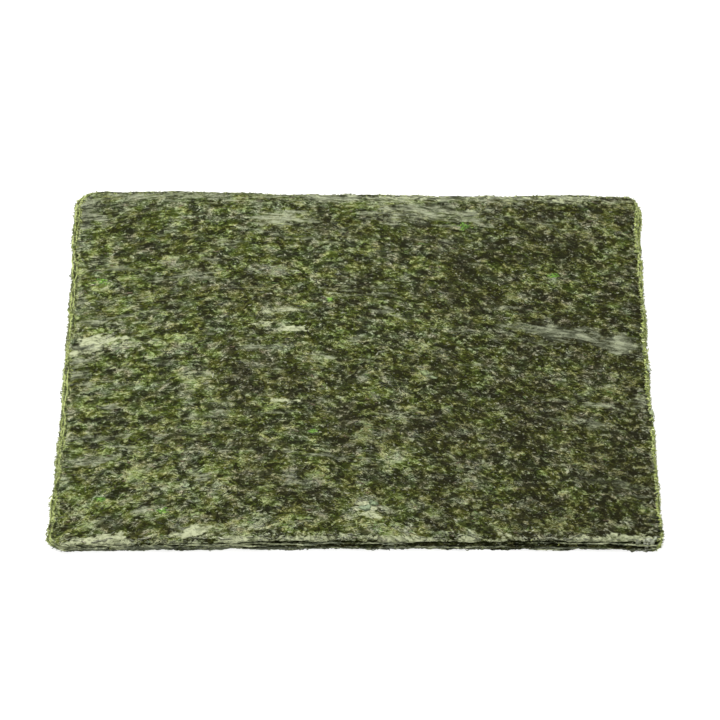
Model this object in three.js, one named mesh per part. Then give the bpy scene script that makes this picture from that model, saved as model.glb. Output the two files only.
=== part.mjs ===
// A neat pile of dried laver sheets, as they come out of their packet. Millimetres, +Z up.
// Each sheet is a thin wavy leaf: both of its faces share one layout of triangles, and a rim closes it.
// The lowest sheet lies flat. The ones above it swell, droop and open in slits, and never touch.
import * as THREE from "three";

// The sheet
const SHEET_WIDTH = 210; // left to right, along X
const SHEET_DEPTH = 190; // front to back, along Y
const SHEET_THICKNESS = 0.13;
const CORNER_RADIUS = { nearLeft: 4, nearRight: 2.5, farRight: 5, farLeft: 9 };
const WAIST = 1; // how far drying has drawn in the middle of each side
const SLANT = { near: 1.2, far: 3.6 }; // how much shorter the right side is, at its two ends

// The pile
const SHEET_COUNT = 10;
const LEAST_GAP = 0.06; // air that always stays between two sheets
const RIM_HEIGHT = 3.4; // table to the pile's top face at the middle of the front edge
const MIDDLE_SWELL = 0.7; // how much higher the pile stands away from its rim
const FAR_EDGE_DROOP = 0.45;
const FAR_EDGE_WIDTH = 26; // the strip along the far edge that droops
const SLIDE = { x: 0.7, y: 0.35 }; // how far a sheet may lie out of line
const TWIST = 0.004; // how far a sheet may be turned, in radians
const UNEVEN = 0.003; // how far a sheet's size may be off, as a share

// How the top sheet lies: it is a little small, so the sheets below it show on the left,
// and along the near half of the right edge
const TOP_SHEET = { slideX: 0.5, slideY: -0.3, turn: 0.005, scale: 0.992 };

// The corners that hang lower than the rim: their signs in X and Y, their droop and their reach
const CORNER_DROOPS = [
  { x: -1, y: 1, droop: 0.9, reach: 26 },
  { x: -1, y: -1, droop: 1.5, reach: 36 },
  { x: 1, y: -1, droop: 0.5, reach: 16 },
  { x: 1, y: 1, droop: 0.6, reach: 24 },
];

// The soft fold line that the packet left across the top sheet. It climbs towards the back, to
// the right, and it is highest at the left and right edges.
const FOLD = { y: 10, height: 0.75, width: 8, climb: 6, wander: 2, wanderLength: 45, least: 0.35 };

// The ripples of the top sheet's left and right margins. Their crests climb steeply on the left.
const RIPPLE = { height: 0.32, length: 23, climb: 0.2, least: 0.2 };

// Waves of the top faces: their height, their length along X and along Y, and where they start
const SWAY_WAVES = [
  { height: 0.11, lengthX: 182, lengthY: 232, start: 0.4 },
  { height: 0.11, lengthX: 182, lengthY: -232, start: 1.2 },
  { height: 0.12, lengthX: 107, lengthY: -320, start: 0 },
];
const BUMP_WAVES = [
  { height: 0.03, lengthX: 23, lengthY: 57, start: 0 },
  { height: 0.03, lengthX: -77, lengthY: 19, start: 0 },
];

// The slits between the sheets open and close in waves, which shift by a step from gap to gap.
// The gap under the top sheet takes the most air.
const SLIT_WAVES = [
  { height: 0.9, lengthX: 132, lengthY: 207, step: 2.4 },
  { height: 0.54, lengthX: -69, lengthY: 163, step: 4.1 },
];
const TOP_SLIT = { share: 13, wave: { height: 6, lengthX: 70, lengthY: 900, start: 4.6 } };

// The frayed edge: waves of these lengths and heights, and small torn bits that stick out
const FRAY_WAVES = [
  { length: 74, height: 0.3 },
  { length: 31, height: 0.25 },
  { length: 13, height: 0.22 },
];
const TORN_BIT = { count: 12, least: 0.3, most: 1.1, width: 3.2 };

// The layouts of triangles: cells of the inner grid, and points round the edge
const RIM_STRIP = 9; // the inner grid stops this far inside the edge
const TOP_LAYOUT = { columns: 22, rows: 32, edgePoints: 180 };
const LOWER_LAYOUT = { columns: 11, rows: 10, edgePoints: 120 };

const SEED = 20;
const { sin, exp, PI, hypot, abs, round } = Math;
const { seededRandom, lerp, smoothstep } = THREE.MathUtils;

function waveAt({ height, lengthX, lengthY, start }, x, y) {
  return height * sin(2 * PI * (x / lengthX + y / lengthY) + start);
}

function sumOfWaves(waves, x, y) {
  return waves.reduce((sum, wave) => sum + waveAt(wave, x, y), 0);
}

// The nominal edge of a sheet, counter-clockwise from the near left corner
function sheetShape() {
  const { nearLeft, nearRight, farRight, farLeft } = CORNER_RADIUS;
  const x = SHEET_WIDTH / 2;
  const y = SHEET_DEPTH / 2;
  const shape = new THREE.Shape();
  shape.moveTo(-x + nearLeft, -y);
  shape.lineTo(x - nearRight, -y);
  shape.absarc(x - nearRight, -y + nearRight, nearRight, -PI / 2, 0, false);
  shape.lineTo(x, y - farRight);
  shape.absarc(x - farRight, y - farRight, farRight, 0, PI / 2, false);
  shape.lineTo(-x + farLeft, y);
  shape.absarc(-x + farLeft, y - farLeft, farLeft, PI / 2, PI, false);
  shape.lineTo(-x, -y + nearLeft);
  shape.absarc(-x + nearLeft, -y + nearLeft, nearLeft, PI, 1.5 * PI, false);
  return shape;
}

// Where a point of the sheet ends up as the sheet dries: the sides are drawn in at their
// middles, and the right side shrinks more than the left
function dried({ x, y }) {
  const u = x / (SHEET_WIDTH / 2);
  const v = y / (SHEET_DEPTH / 2);
  const slant = lerp(SLANT.near, SLANT.far, (v + 1) / 2);
  const driedX = x - WAIST * u * (1 - v * v);
  const driedY = y - WAIST * v * (1 - u * u) - (slant * u * v) / 2;
  return new THREE.Vector2(driedX, driedY);
}

// The height of the pile's top face: a low cushion that droops along the far edge and at the corners
function pileHeight(x, y) {
  const u = x / (SHEET_WIDTH / 2);
  const v = y / (SHEET_DEPTH / 2);
  const inside = (1 - u ** 4) * (1 - v ** 4);
  const farEdge = SHEET_DEPTH / 2 - FAR_EDGE_WIDTH;
  let height = RIM_HEIGHT + MIDDLE_SWELL * inside + sumOfWaves(SWAY_WAVES, x, y);
  height -= FAR_EDGE_DROOP * smoothstep(y, farEdge, SHEET_DEPTH / 2) ** 2;
  for (const corner of CORNER_DROOPS) {
    const away = hypot(x - (corner.x * SHEET_WIDTH) / 2, y - (corner.y * SHEET_DEPTH) / 2);
    height -= corner.droop * exp(-((away / corner.reach) ** 2));
  }
  return height;
}

// How the free air of the pile is shared between its gaps, from the lowest gap to the highest
function gapShares(x, y) {
  const shares = [];
  for (let gap = 0; gap < SHEET_COUNT - 2; gap++) {
    const waves = SLIT_WAVES.map((wave) => ({ ...wave, start: wave.step * gap }));
    shares.push(exp(sumOfWaves(waves, x, y)));
  }
  shares.push(TOP_SLIT.share + waveAt(TOP_SLIT.wave, x, y));
  const total = shares.reduce((sum, share) => sum + share, 0);
  return shares.map((share) => share / total);
}

// The height of a sheet's lower face, without the top sheet's own relief
function sheetBase(level, x, y) {
  const closed = SHEET_THICKNESS + (SHEET_COUNT - 1) * (SHEET_THICKNESS + LEAST_GAP);
  const free = Math.max(0, pileHeight(x, y) - closed);
  const below = gapShares(x, y).slice(0, level);
  const air = below.reduce((sum, share) => sum + share * free, 0);
  return level * (SHEET_THICKNESS + LEAST_GAP) + air;
}

// The top sheet's relief, which is never below zero: the fold, the ripples and low bumps
function topRelief(x, y) {
  const side = abs(x) / (SHEET_WIDTH / 2);
  const foldLine = FOLD.y + FOLD.climb * (x / SHEET_WIDTH) + FOLD.wander * sin(x / FOLD.wanderLength);
  const foldShape = exp(-(((y - foldLine) / FOLD.width) ** 2));
  const fold = FOLD.height * lerp(FOLD.least, 1, side) * foldShape;
  const crestLine = RIPPLE.climb * (x - (x * x) / SHEET_WIDTH);
  const rippleShape = 0.5 + 0.5 * sin((2 * PI * (y - crestLine)) / RIPPLE.length);
  const ripple = RIPPLE.height * lerp(RIPPLE.least, 1, side * side) * rippleShape;
  const bumpHeight = BUMP_WAVES.reduce((sum, wave) => sum + wave.height, 0);
  return fold + ripple + bumpHeight + sumOfWaves(BUMP_WAVES, x, y);
}

// How far the edge of one sheet strays outwards, at a distance along the edge
function frayOf(edgeLength) {
  const waves = FRAY_WAVES.map((wave) => ({ ...wave, phase: 2 * PI * seededRandom() }));
  const bits = Array.from({ length: TORN_BIT.count }, () => ({
    at: edgeLength * seededRandom(),
    height: lerp(TORN_BIT.least, TORN_BIT.most, seededRandom()),
  }));
  return (along) => {
    let out = 0;
    for (const wave of waves) {
      const turns = Math.max(1, round(edgeLength / wave.length));
      out += wave.height * sin((2 * PI * turns * along) / edgeLength + wave.phase);
    }
    for (const bit of bits) {
      const away = abs(along - bit.at);
      out += bit.height * exp(-((Math.min(away, edgeLength - away) / TORN_BIT.width) ** 2));
    }
    return out;
  };
}

// How one sheet lies in the pile
function sheetPlace(level) {
  if (level === SHEET_COUNT - 1) return TOP_SHEET;
  const stray = () => 2 * seededRandom() - 1;
  return {
    slideX: SLIDE.x * stray(),
    slideY: SLIDE.y * stray(),
    turn: TWIST * stray(),
    scale: 1 + UNEVEN * stray(),
  };
}

// The edge of one sheet, frayed, slid and turned
function sheetEdge(level, nominal, edgeLength) {
  seededRandom(SEED * (level + 1)); // each sheet draws its own numbers from here on
  const { slideX, slideY, turn, scale } = sheetPlace(level);
  const fray = frayOf(edgeLength);
  const slide = new THREE.Vector2(slideX, slideY);
  const pivot = new THREE.Vector2();
  const count = nominal.length;
  return nominal.map((point, n) => {
    const next = nominal[(n + 1) % count];
    const previous = nominal[(n + count - 1) % count];
    const outwards = new THREE.Vector2(next.y - previous.y, previous.x - next.x).normalize();
    const frayed = dried(point).addScaledVector(outwards, fray((edgeLength * n) / count));
    return frayed.multiplyScalar(scale).rotateAround(pivot, turn).add(slide);
  });
}

// The inner grid's points, row by row from the front
function gridPoints({ columns, rows }) {
  const x = SHEET_WIDTH / 2 - RIM_STRIP;
  const y = SHEET_DEPTH / 2 - RIM_STRIP;
  const points = [];
  for (let row = 0; row <= rows; row++)
    for (let column = 0; column <= columns; column++)
      points.push(new THREE.Vector2(lerp(-x, x, column / columns), lerp(-y, y, row / rows)));
  return points;
}

// The numbers of the grid's border points, counter-clockwise from the near left corner
function gridBorder({ columns, rows }) {
  const at = (column, row) => row * (columns + 1) + column;
  const border = [];
  for (let column = 0; column < columns; column++) border.push(at(column, 0));
  for (let row = 0; row < rows; row++) border.push(at(columns, row));
  for (let column = columns; column > 0; column--) border.push(at(column, rows));
  for (let row = rows; row > 0; row--) border.push(at(0, row));
  return border;
}

// The triangles of one face, counter-clockwise from above: the grid's cells, then the strip
// between the grid and the edge, closed by taking the shorter diagonal each time
function faceTriangles(layout, grid, edge) {
  const { columns, rows } = layout;
  const triangles = [];
  for (let row = 0; row < rows; row++)
    for (let column = 0; column < columns; column++) {
      const a = row * (columns + 1) + column;
      const [b, c, d] = [a + 1, a + columns + 2, a + columns + 1];
      triangles.push([a, b, c], [a, c, d]);
    }
  const border = gridBorder(layout);
  const distance = (inner, outer) =>
    grid[border[inner % border.length]].distanceTo(edge[outer % edge.length]);
  let start = 0;
  for (let n = 1; n < edge.length; n++) if (distance(0, n) < distance(0, start)) start = n;
  let inner = 0;
  let outer = 0;
  while (inner < border.length || outer < edge.length) {
    const innerPoint = border[inner % border.length];
    const outerPoint = grid.length + ((start + outer) % edge.length);
    const stepOut =
      inner === border.length ||
      (outer < edge.length &&
        distance(inner, start + outer + 1) < distance(inner + 1, start + outer));
    if (stepOut) {
      outer++;
      triangles.push([innerPoint, outerPoint, grid.length + ((start + outer) % edge.length)]);
    } else {
      inner++;
      triangles.push([innerPoint, outerPoint, border[inner % border.length]]);
    }
  }
  return triangles;
}

// A closed leaf: the face's triangles above and, turned over, below, and a rim round the edge
function leafGeometry(points, edgeCount, triangles, heightOf) {
  const count = points.length;
  const positions = [];
  for (const lift of [SHEET_THICKNESS, 0])
    for (const { x, y } of points) positions.push(x, y, heightOf(x, y) + lift);
  const index = [];
  for (const [a, b, c] of triangles) {
    index.push(a, b, c);
    index.push(count + a, count + c, count + b);
  }
  const firstEdge = count - edgeCount;
  for (let n = 0; n < edgeCount; n++) {
    const here = firstEdge + n;
    const next = firstEdge + ((n + 1) % edgeCount);
    index.push(here, count + here, count + next);
    index.push(here, count + next, next);
  }
  const geometry = new THREE.BufferGeometry();
  geometry.setAttribute("position", new THREE.Float32BufferAttribute(positions, 3));
  geometry.setIndex(index);
  geometry.computeVertexNormals();
  return geometry;
}

// Roasted laver: dark olive green, with a dull shine
function sheetMaterial(level) {
  let [name, color] = ["laver_edges", "#4c5530"];
  if (level === 0) [name, color] = ["laver_underside", "#404629"];
  if (level === SHEET_COUNT - 1) [name, color] = ["laver_top", "#5a5f3f"];
  return new THREE.MeshStandardMaterial({ name, color, roughness: 0.6, metalness: 0 });
}

function makeSheet(level) {
  const isTop = level === SHEET_COUNT - 1;
  const layout = isTop ? TOP_LAYOUT : LOWER_LAYOUT;
  const shape = sheetShape();
  const nominal = shape.getSpacedPoints(layout.edgePoints).slice(0, layout.edgePoints);
  const grid = gridPoints(layout);
  const triangles = faceTriangles(layout, grid, nominal);
  const edge = sheetEdge(level, nominal, shape.getLength());
  const heightOf = (x, y) => sheetBase(level, x, y) + (isTop ? topRelief(x, y) : 0);
  const geometry = leafGeometry([...grid, ...edge], edge.length, triangles, heightOf);
  const sheet = new THREE.Mesh(geometry, sheetMaterial(level));
  sheet.name = `sheet_${String(level + 1).padStart(2, "0")}`;
  return sheet;
}

const pile = new THREE.Group();
for (let level = 0; level < SHEET_COUNT; level++) pile.add(makeSheet(level));

// The origin is under the middle of the pile, on the table
const box = new THREE.Box3().setFromObject(pile);
const middle = box.getCenter(new THREE.Vector3());
pile.position.set(-middle.x, -middle.y, -box.min.z);

export default pile;
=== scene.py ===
# %% [markdown]
# # A neat pile of dried laver
#
# Laver is the seaweed that rice is rolled in. The plant is chopped into bits of leaf a millimetre or
# two long, the bits are spread over a mat in water, and the thin layer dries into a sheet. So a sheet
# is a felt, and three things make it look like one: a low, lumpy surface, thousands of small curved
# bits of leaf in many greens, and an edge that frays.
#
# The CAD model holds ten plain sheets. This script puts a detailed sheet in the place of each one.

import bpy
import numpy as np
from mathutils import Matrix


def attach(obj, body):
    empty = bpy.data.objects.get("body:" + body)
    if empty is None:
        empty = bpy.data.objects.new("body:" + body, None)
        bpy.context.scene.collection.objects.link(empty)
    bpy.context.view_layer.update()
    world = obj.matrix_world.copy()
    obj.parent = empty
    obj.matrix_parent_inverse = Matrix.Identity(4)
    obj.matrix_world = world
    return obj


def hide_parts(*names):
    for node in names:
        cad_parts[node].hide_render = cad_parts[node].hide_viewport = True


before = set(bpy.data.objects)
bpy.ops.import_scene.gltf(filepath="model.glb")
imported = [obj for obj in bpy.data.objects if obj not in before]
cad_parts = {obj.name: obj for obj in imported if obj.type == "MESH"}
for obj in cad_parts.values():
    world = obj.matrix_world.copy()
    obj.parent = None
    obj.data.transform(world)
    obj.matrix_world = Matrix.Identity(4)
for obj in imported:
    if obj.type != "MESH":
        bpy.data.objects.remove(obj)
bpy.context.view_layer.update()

# %% [markdown]
# ## Units, colours and nodes
#
# Blender works in metres, and a sheet of seaweed is easier to think of in millimetres. All shapes here
# are worked out in millimetres and turned to metres when they become a mesh. Colours are written as
# they look on a screen, and one function turns them into the linear values that light is added up in.

# %% Small helpers
MM = 0.001
SEED = 7


def linear(colour):
    """The linear value of an sRGB colour such as "#5a6038": each channel is undone by sRGB's own curve."""
    channels = np.array([int(colour[i : i + 2], 16) for i in (1, 3, 5)]) / 255
    return np.where(channels <= 0.04045, channels / 12.92, ((channels + 0.055) / 1.055) ** 2.4)


def add(tree, kind, inputs=None, output=0, **settings):
    """Adds a node with its settings and returns one of its outputs, by number or name. Each of inputs is a
    value, or the output of another node, which is linked."""
    node = tree.nodes.new(kind)
    for name, value in settings.items():
        setattr(node, name, value)
    for name, value in (inputs or {}).items():
        socket = node.inputs[name]
        if isinstance(value, bpy.types.NodeSocket):
            tree.links.new(value, socket)
        else:
            socket.default_value = value
    return node.outputs[output]


# %% [markdown]
# ## Hills of chance
#
# Nearly everything on the sheet is random but smooth: its lumps, the way its edge frays, and where it is
# pale. All of it comes from one function. It gives every crossing of a square net a random slope and
# blends the four slopes around a point. The pitch of the net, in millimetres, is the size of the hills.

# %% Smooth random hills
def hills(x, y, pitch, seed):
    """Gradient noise from about -1 to 1: each crossing of the net tilts its surroundings, and the tilts of
    the four nearest crossings are mixed by 6t^5 - 15t^4 + 10t^3 of the distance t to each."""
    angles = np.random.default_rng(seed).uniform(0, 2 * np.pi, (256, 256))
    slope_x, slope_y = np.cos(angles), np.sin(angles)
    column, row = np.floor(x / pitch).astype(int), np.floor(y / pitch).astype(int)
    across, along = x / pitch - column, y / pitch - row

    def tilt(right, up):
        at = (column + right) % 256, (row + up) % 256
        return slope_x[at] * (across - right) + slope_y[at] * (along - up)

    ease_x = across**3 * (across * (across * 6 - 15) + 10)
    ease_y = along**3 * (along * (along * 6 - 15) + 10)
    near = tilt(0, 0) * (1 - ease_x) + tilt(1, 0) * ease_x
    far = tilt(0, 1) * (1 - ease_x) + tilt(1, 1) * ease_x
    return 1.5 * (near * (1 - ease_y) + far * ease_y)


def ridges(x, y, pitch, seed):
    """Curly ridge lines from 0 to 1, highest where the hills cross zero: 1 - |hills|, with the points
    first pushed about by other hills, so that the lines curl."""
    push_x = 0.6 * pitch * hills(x, y, 1.7 * pitch, seed + 1)
    push_y = 0.6 * pitch * hills(x, y, 1.7 * pitch, seed + 2)
    return 1 - np.abs(hills(x + push_x, y + push_y, pitch, seed))


# %% [markdown]
# ## What the CAD sheets say
#
# A detailed sheet has to lie exactly where its CAD sheet lies. Two things are read from each CAD mesh:
# the outline, which is the ring of points near its edge in order of their angle, and the height of its
# middle surface, which is fitted with a sum of cosine waves so that it becomes smooth.

# %% Read outline and height
HALF_X, HALF_Y = 105, 95  # half the size of a sheet, in millimetres, as all sizes here are
SPAN_X, SPAN_Y = 216.0, 198.0  # the waves span a little more than the sheet
INNER_X, INNER_Y = 99.0, 89.0  # a CAD point further out than this is a point of the edge
THICKNESS = 0.13
TOP_WAVES, LOWER_WAVES = (14, 22), (9, 8)  # how many waves a sheet's height is fitted with
SMOOTHING = 2e-6  # how strongly short waves are held back


def cad_points(node):
    """The points of a CAD sheet, in millimetres."""
    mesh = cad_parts[node].data
    points = np.empty(3 * len(mesh.vertices))
    mesh.vertices.foreach_get("co", points)
    return np.unique(np.round(points.reshape(-1, 3) / MM, 3), axis=0)


def cad_outline(points):
    """The edge points of a CAD sheet, counter-clockwise: those outside the inner box, by polar angle."""
    outer = (np.abs(points[:, 0]) > INNER_X) | (np.abs(points[:, 1]) > INNER_Y)
    ring = np.unique(points[outer, :2], axis=0)
    return ring[np.argsort(np.arctan2(ring[:, 1], ring[:, 0]))]


def cosines(x, y, count_x, count_y):
    """The half waves 0, 1, 2 ... that fit across the sheet and along it: cos(pi i (x / span + 1/2))."""
    across = np.cos(np.pi * np.arange(count_x) * (np.asarray(x)[:, None] / SPAN_X + 0.5))
    along = np.cos(np.pi * np.arange(count_y) * (np.asarray(y)[:, None] / SPAN_Y + 0.5))
    return across, along


def fit_height(points, count_x, count_y):
    """The least squares weights of all products of an across wave and an along wave, where each weight
    is held back a little by the square of its wave numbers."""
    across, along = cosines(points[:, 0], points[:, 1], count_x, count_y)
    products = (across[:, :, None] * along[:, None, :]).reshape(len(points), -1)
    bend = np.arange(count_x)[:, None] ** 2 + np.arange(count_y)[None, :] ** 2
    hold = np.diag(SMOOTHING * len(points) * bend.ravel() ** 2.0)
    weights = np.linalg.solve(products.T @ products + hold, products.T @ points[:, 2])
    return weights.reshape(count_x, count_y)


def height_at(weights, x, y):
    """The height of the fitted surface at many points."""
    across, along = cosines(x, y, *weights.shape)
    return ((across @ weights) * along).sum(1)


CORNER_BACK = (103.7, 90.9)  # the far right corner of the top sheet, which the CAD edge cuts off
SHEETS = sorted(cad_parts)
TOP, BOTTOM = SHEETS[-1], SHEETS[0]
outlines, heights = {}, {}
for node in SHEETS:
    points = cad_points(node)
    corner = [(*CORNER_BACK, 0)] if node == TOP else []
    outlines[node] = cad_outline(np.array([*points, *corner]))
    heights[node] = fit_height(points, *(TOP_WAVES if node == TOP else LOWER_WAVES))
    error = np.abs(height_at(heights[node], points[:, 0], points[:, 1]) - points[:, 2])
    print(node, len(outlines[node]), "edge points, fitted within", round(float(error.max()), 3), "mm")


# %% [markdown]
# ## Which way the bits were combed
#
# The pulp was poured and swept over the mat, so its bits lie in long gentle arcs. On the left they climb
# a little to the right, and from the middle on they sink. Instead of a direction, the drift is stored:
# how far an arc has been carried up at each place. Any pattern that is read at y - drift then follows
# the arcs.

# %% Drift of the bits
LEFT_CLIMB, RIGHT_SINK = 0.13, 0.2  # slopes of the arcs at the two sides
TURN_AT, TURN_WIDTH = -26.0, 35.0  # where the slope changes, and over what width, in millimetres


def drift(x, y):
    """The integral of a slope that goes from left to right as tanh, so it holds a log cosh, and waves."""
    middle, half = (LEFT_CLIMB - RIGHT_SINK) / 2, (LEFT_CLIMB + RIGHT_SINK) / 2
    arcs = middle * x - half * TURN_WIDTH * np.log(np.cosh((x - TURN_AT) / TURN_WIDTH))
    return arcs + 0.9 * hills(x, y, 13, SEED + 15) + 0.35 * hills(x, y, 5, SEED + 16)


def climb(x, y):
    """The slope of the arcs at each place: the rise of the drift over one millimetre to the right."""
    return drift(x + 0.5, y) - drift(x - 0.5, y)


# %% [markdown]
# ## Where the top sheet is pale, smooth or dark
#
# The felt isn't even. In some places the bits of leaf lie thick and pale, and in others a film of them
# has dried smooth. Its sheen is painted into its colour: grey film is painted sheen, and nearly white film
# is partly pale film and partly painted sheen. The largest of these places are given one by one, as soft
# ovals with a middle and two half widths in millimetres. Random hills add the rest.

# %% Uneven places of the top sheet
# Each row is x, y, half width, half depth and strength.
PALE_PLACES = [
    (-28, 47, 8.8, 2.8, 0.7),
    (-29, 78, 11.0, 3.0, 0.3),
    (-27, 25, 6.6, 2.2, 0.6),
    (-30, 15, 6.5, 2.2, 0.5),
    (-26, -25, 5.0, 1.6, 0.6),
    (-86, 5.5, 9.5, 3.8, 0.35),
    (-93, 39, 2.9, 3.9, 0.5),
    (-85, 43, 3.7, 2.8, 0.4),
    (-69, 51, 3.3, 3.4, 0.5),
    (-67, 7, 8.0, 3.2, 0.3),
    (-10, 31, 6.6, 3.9, 0.25),
    (25, -9, 3.2, 3.2, 0.5),
    (4, -42, 5.3, 5.7, 0.5),
    (12, -53, 4.2, 2.6, 0.55),
    (16, -33, 2.8, 3.1, 0.35),
    (28, -58, 2.8, 2.0, 0.5),
    (-38, -55, 3.5, 4.1, 0.5),
    (-30, -43, 2.8, 3.6, 0.35),
    (-23, -64, 2.4, 4.6, 0.45),
    (-13, -63, 4.2, 3.6, 0.45),
    (-75, -61, 4.2, 4.1, 0.5),
    (-69, -81, 3.8, 3.0, 0.6),
    (-38, -86, 5.5, 4.0, 0.45),
    (-57, -90, 12.0, 3.5, 0.35),
    (5, -78, 4.8, 4.5, 0.8),
    (10, -89, 4.1, 4.5, 0.55),
    (30, -84, 4.8, 2.5, 0.5),
    (30, -91, 62.0, 3.0, 0.3),
    (41, -64, 3.1, 3.1, 0.35),
    (48, -46, 4.9, 3.6, 0.4),
    (54, -69, 3.5, 2.5, 0.35),
    (60, 31, 4.4, 2.8, 0.35),
    (90, 45, 1.8, 2.3, 0.5),
    (99, 40, 1.8, 2.3, 0.5),
    (72, 42, 3.3, 3.4, 0.4),
    (91, -17, 2.1, 2.1, 0.7),
    (100, -82, 2.1, 6.0, 0.4),
]
# Whitish places: partly pale film and partly painted sheen.
WHITE_PLACES = [
    (-93, 8, 9.0, 3.2, 0.7),
    (-98, 2, 7.0, 1.8, 0.65),
    (-80, 6, 6.5, 2.4, 0.4),
    (-34, 18, 5.0, 1.3, 0.55),
    (-23, 15, 5.0, 1.9, 0.85),
    (-27, 25, 8.0, 1.3, 0.5),
    (-26, -24, 6.0, 0.9, 0.6),
    (-89, -94.5, 14.0, 2.4, 0.75),
    (-56, -90, 7.0, 2.4, 0.7),
    (-33, -88, 3.5, 3.0, 0.5),
    (4, -79, 4.5, 3.8, 0.65),
    (95, -93, 7.0, 2.2, 0.8),
    (101, -92, 4.0, 3.0, 0.5),
    (60, -93.5, 20.0, 1.0, 0.5),
    (10, -93.5, 22.0, 1.2, 0.5),
    (66, 91, 22.0, 1.4, 0.45),
    (5, 92, 12.0, 1.4, 0.45),
]
DARK_PLACES = [
    (-45, 41, 3.3, 5.1, 0.8),
    (-53, 25, 3.6, 3.9, 0.7),
    (-25, -4, 4.3, 7.0, 0.9),
    (-15, 14, 4.3, 4.4, 0.7),
    (-46, 3, 3.2, 4.9, 0.4),
    (-73, -20, 4.3, 3.2, 0.5),
    (-97, -9, 5.0, 2.7, 0.7),
    (-105, 59, 2.6, 6.9, 0.6),
    (-76, 42, 3.7, 2.8, 0.6),
    (-84, 59, 3.3, 2.9, 0.5),
    (-101, 31, 3.3, 2.8, 0.4),
    (-58, 65, 3.7, 2.9, 0.5),
    (-35, -33, 3.5, 4.2, 0.6),
    (-20, -23, 2.1, 5.3, 0.4),
    (-62, -45, 4.9, 3.1, 0.5),
    (-92, -71, 4.9, 2.5, 0.6),
    (-84, -79, 6.2, 2.0, 0.8),
    (-29, -80, 3.1, 3.5, 0.7),
    (-8, -84, 2.8, 6.0, 1.0),
    (-10, -55, 2.8, 4.6, 0.7),
    (-3, 53, 5.2, 2.9, 0.5),
    (-4, -13, 5.0, 4.3, 0.4),
    (6, -29, 4.3, 3.7, 0.6),
    (16, 14, 5.1, 3.8, 0.4),
    (38, 49, 4.4, 4.6, 0.8),
    (47, 42, 3.7, 3.4, 0.7),
    (55, 58, 3.7, 4.6, 0.7),
    (78, 58, 5.9, 4.6, 0.9),
    (83, 26, 3.3, 4.4, 0.8),
    (31, -13, 4.3, 7.0, 1.0),
    (36, -24, 3.2, 4.2, 0.7),
    (25, -49, 4.9, 10.4, 0.8),
    (60, -5, 4.3, 3.2, 0.6),
    (46, -80, 3.1, 3.0, 0.5),
    (64, -68, 4.9, 4.6, 0.9),
    (70, -91, 10.3, 2.0, 0.5),
    (81, -65, 4.2, 3.0, 0.5),
    (85, -78, 5.5, 4.5, 0.9),
    (91, -50, 4.9, 3.1, 0.8),
    (99, -72, 3.5, 4.5, 0.8),
]
# Smooth grey film: it is less rough, and its grey colour is painted sheen.
SMOOTH_PLACES = [
    (-29, 77, 13.4, 4.1, 0.75),
    (15, 79, 14.9, 3.5, 0.6),
    (31, 81, 22.4, 5.3, 0.75),
    (64, 75, 12.7, 2.9, 0.4),
    (-10, 65, 9.6, 2.3, 0.3),
    (-89, 82, 6.7, 5.9, 0.4),
    (-101, 81, 3.4, 8.2, 0.9),
    (-48, 63, 5.9, 2.3, 0.5),
    (-95, 52, 8.1, 2.9, 0.4),
    (-102, 31, 3.7, 3.4, 0.8),
    (-75, 25, 5.1, 2.2, 0.4),
    (-3, 35, 8.0, 2.8, 0.5),
    (-101, -10, 5.7, 2.7, 0.7),
    (-56, -10, 9.3, 2.1, 0.5),
    (-91, -44, 10.0, 2.1, 0.7),
    (-92, -55, 8.5, 2.3, 0.85),
    (37, 14, 9.4, 2.2, 0.35),
    (59, 16, 8.7, 3.3, 0.7),
    (62, 9, 12.0, 3.0, 0.45),
    (76, 12, 15.0, 5.0, 1.0),
    (95, 7, 9.5, 5.0, 1.0),
    (86, -26, 15.6, 1.8, 0.6),
    (83, -36, 12.7, 2.1, 0.55),
    (101, -23, 5.0, 3.2, 0.6),
    (87, -66, 13.9, 2.2, 0.65),
    (73, -95, 10.3, 2.0, 0.3),
]
BROAD_PLACES = [  # wide places where the whole sheet is a little lighter or darker, by this much
    (-92, 85, 14, 10, -0.3),
    (6, 86, 24, 9, 0.32),
    (-66, 56, 22, 12, -0.24),
    (55, 56, 50, 12, -0.1),
    (16, 27, 24, 13, -0.4),
    (71, 25, 12, 12, 0.22),
    (-40, -28, 25, 12, -0.12),
    (12, -28, 10, 12, -0.3),
    (62, -56, 20, 12, -0.24),
    (-80, -83, 22, 10, 0.32),
    (10, -84, 26, 10, 0.38),
    (70, -84, 30, 10, 0.28),
    (-31, 14, 10, 20, 0.15),
    (52, -27, 10, 10, 0.15),
]
FAR_EDGE, NEAR_EDGE = 93, -95.0  # where the films at the two edges are strongest
FAR_SHEEN, FAR_SHEEN_WIDTH = 0.8, 5.5  # strength and width of the painted sheen where the far edge curves away
FAR_MARGIN, NEAR_MARGIN = 3.2, 3.2  # width of the whitish margins, painted sheen where the edges bend down


def places(x, y, ovals, edge=0.5):
    """The strongest oval at each point. Inside, an oval is full, and it fades to nothing over a share of
    its size, the edge, on both sides of its border. It is bent along the arcs, and short hills, wider
    than they are deep, make its border ragged."""
    carried = y - drift(x, y)
    ragged = 0.5 * hills(x, 2.5 * carried, 9, SEED + 11) + 0.5 * hills(x, 2 * carried, 3.4, SEED + 12)
    ragged += 0.3 * hills(x, 1.6 * carried, 1.6, SEED + 13)
    found = np.zeros_like(x)
    for at_x, at_y, half_x, half_y, strength in ovals:
        level = at_y - drift(np.array([at_x]), np.array([at_y]))[0]
        across, along = (x - at_x) / half_x, (carried - level) / half_y
        inside = (1 + edge - np.sqrt(across**2 + along**2) + ragged) / (2 * edge)
        ease = np.clip(inside, 0, 1)
        found = np.maximum(found, strength * ease**2 * (3 - 2 * ease))
    return found


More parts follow.
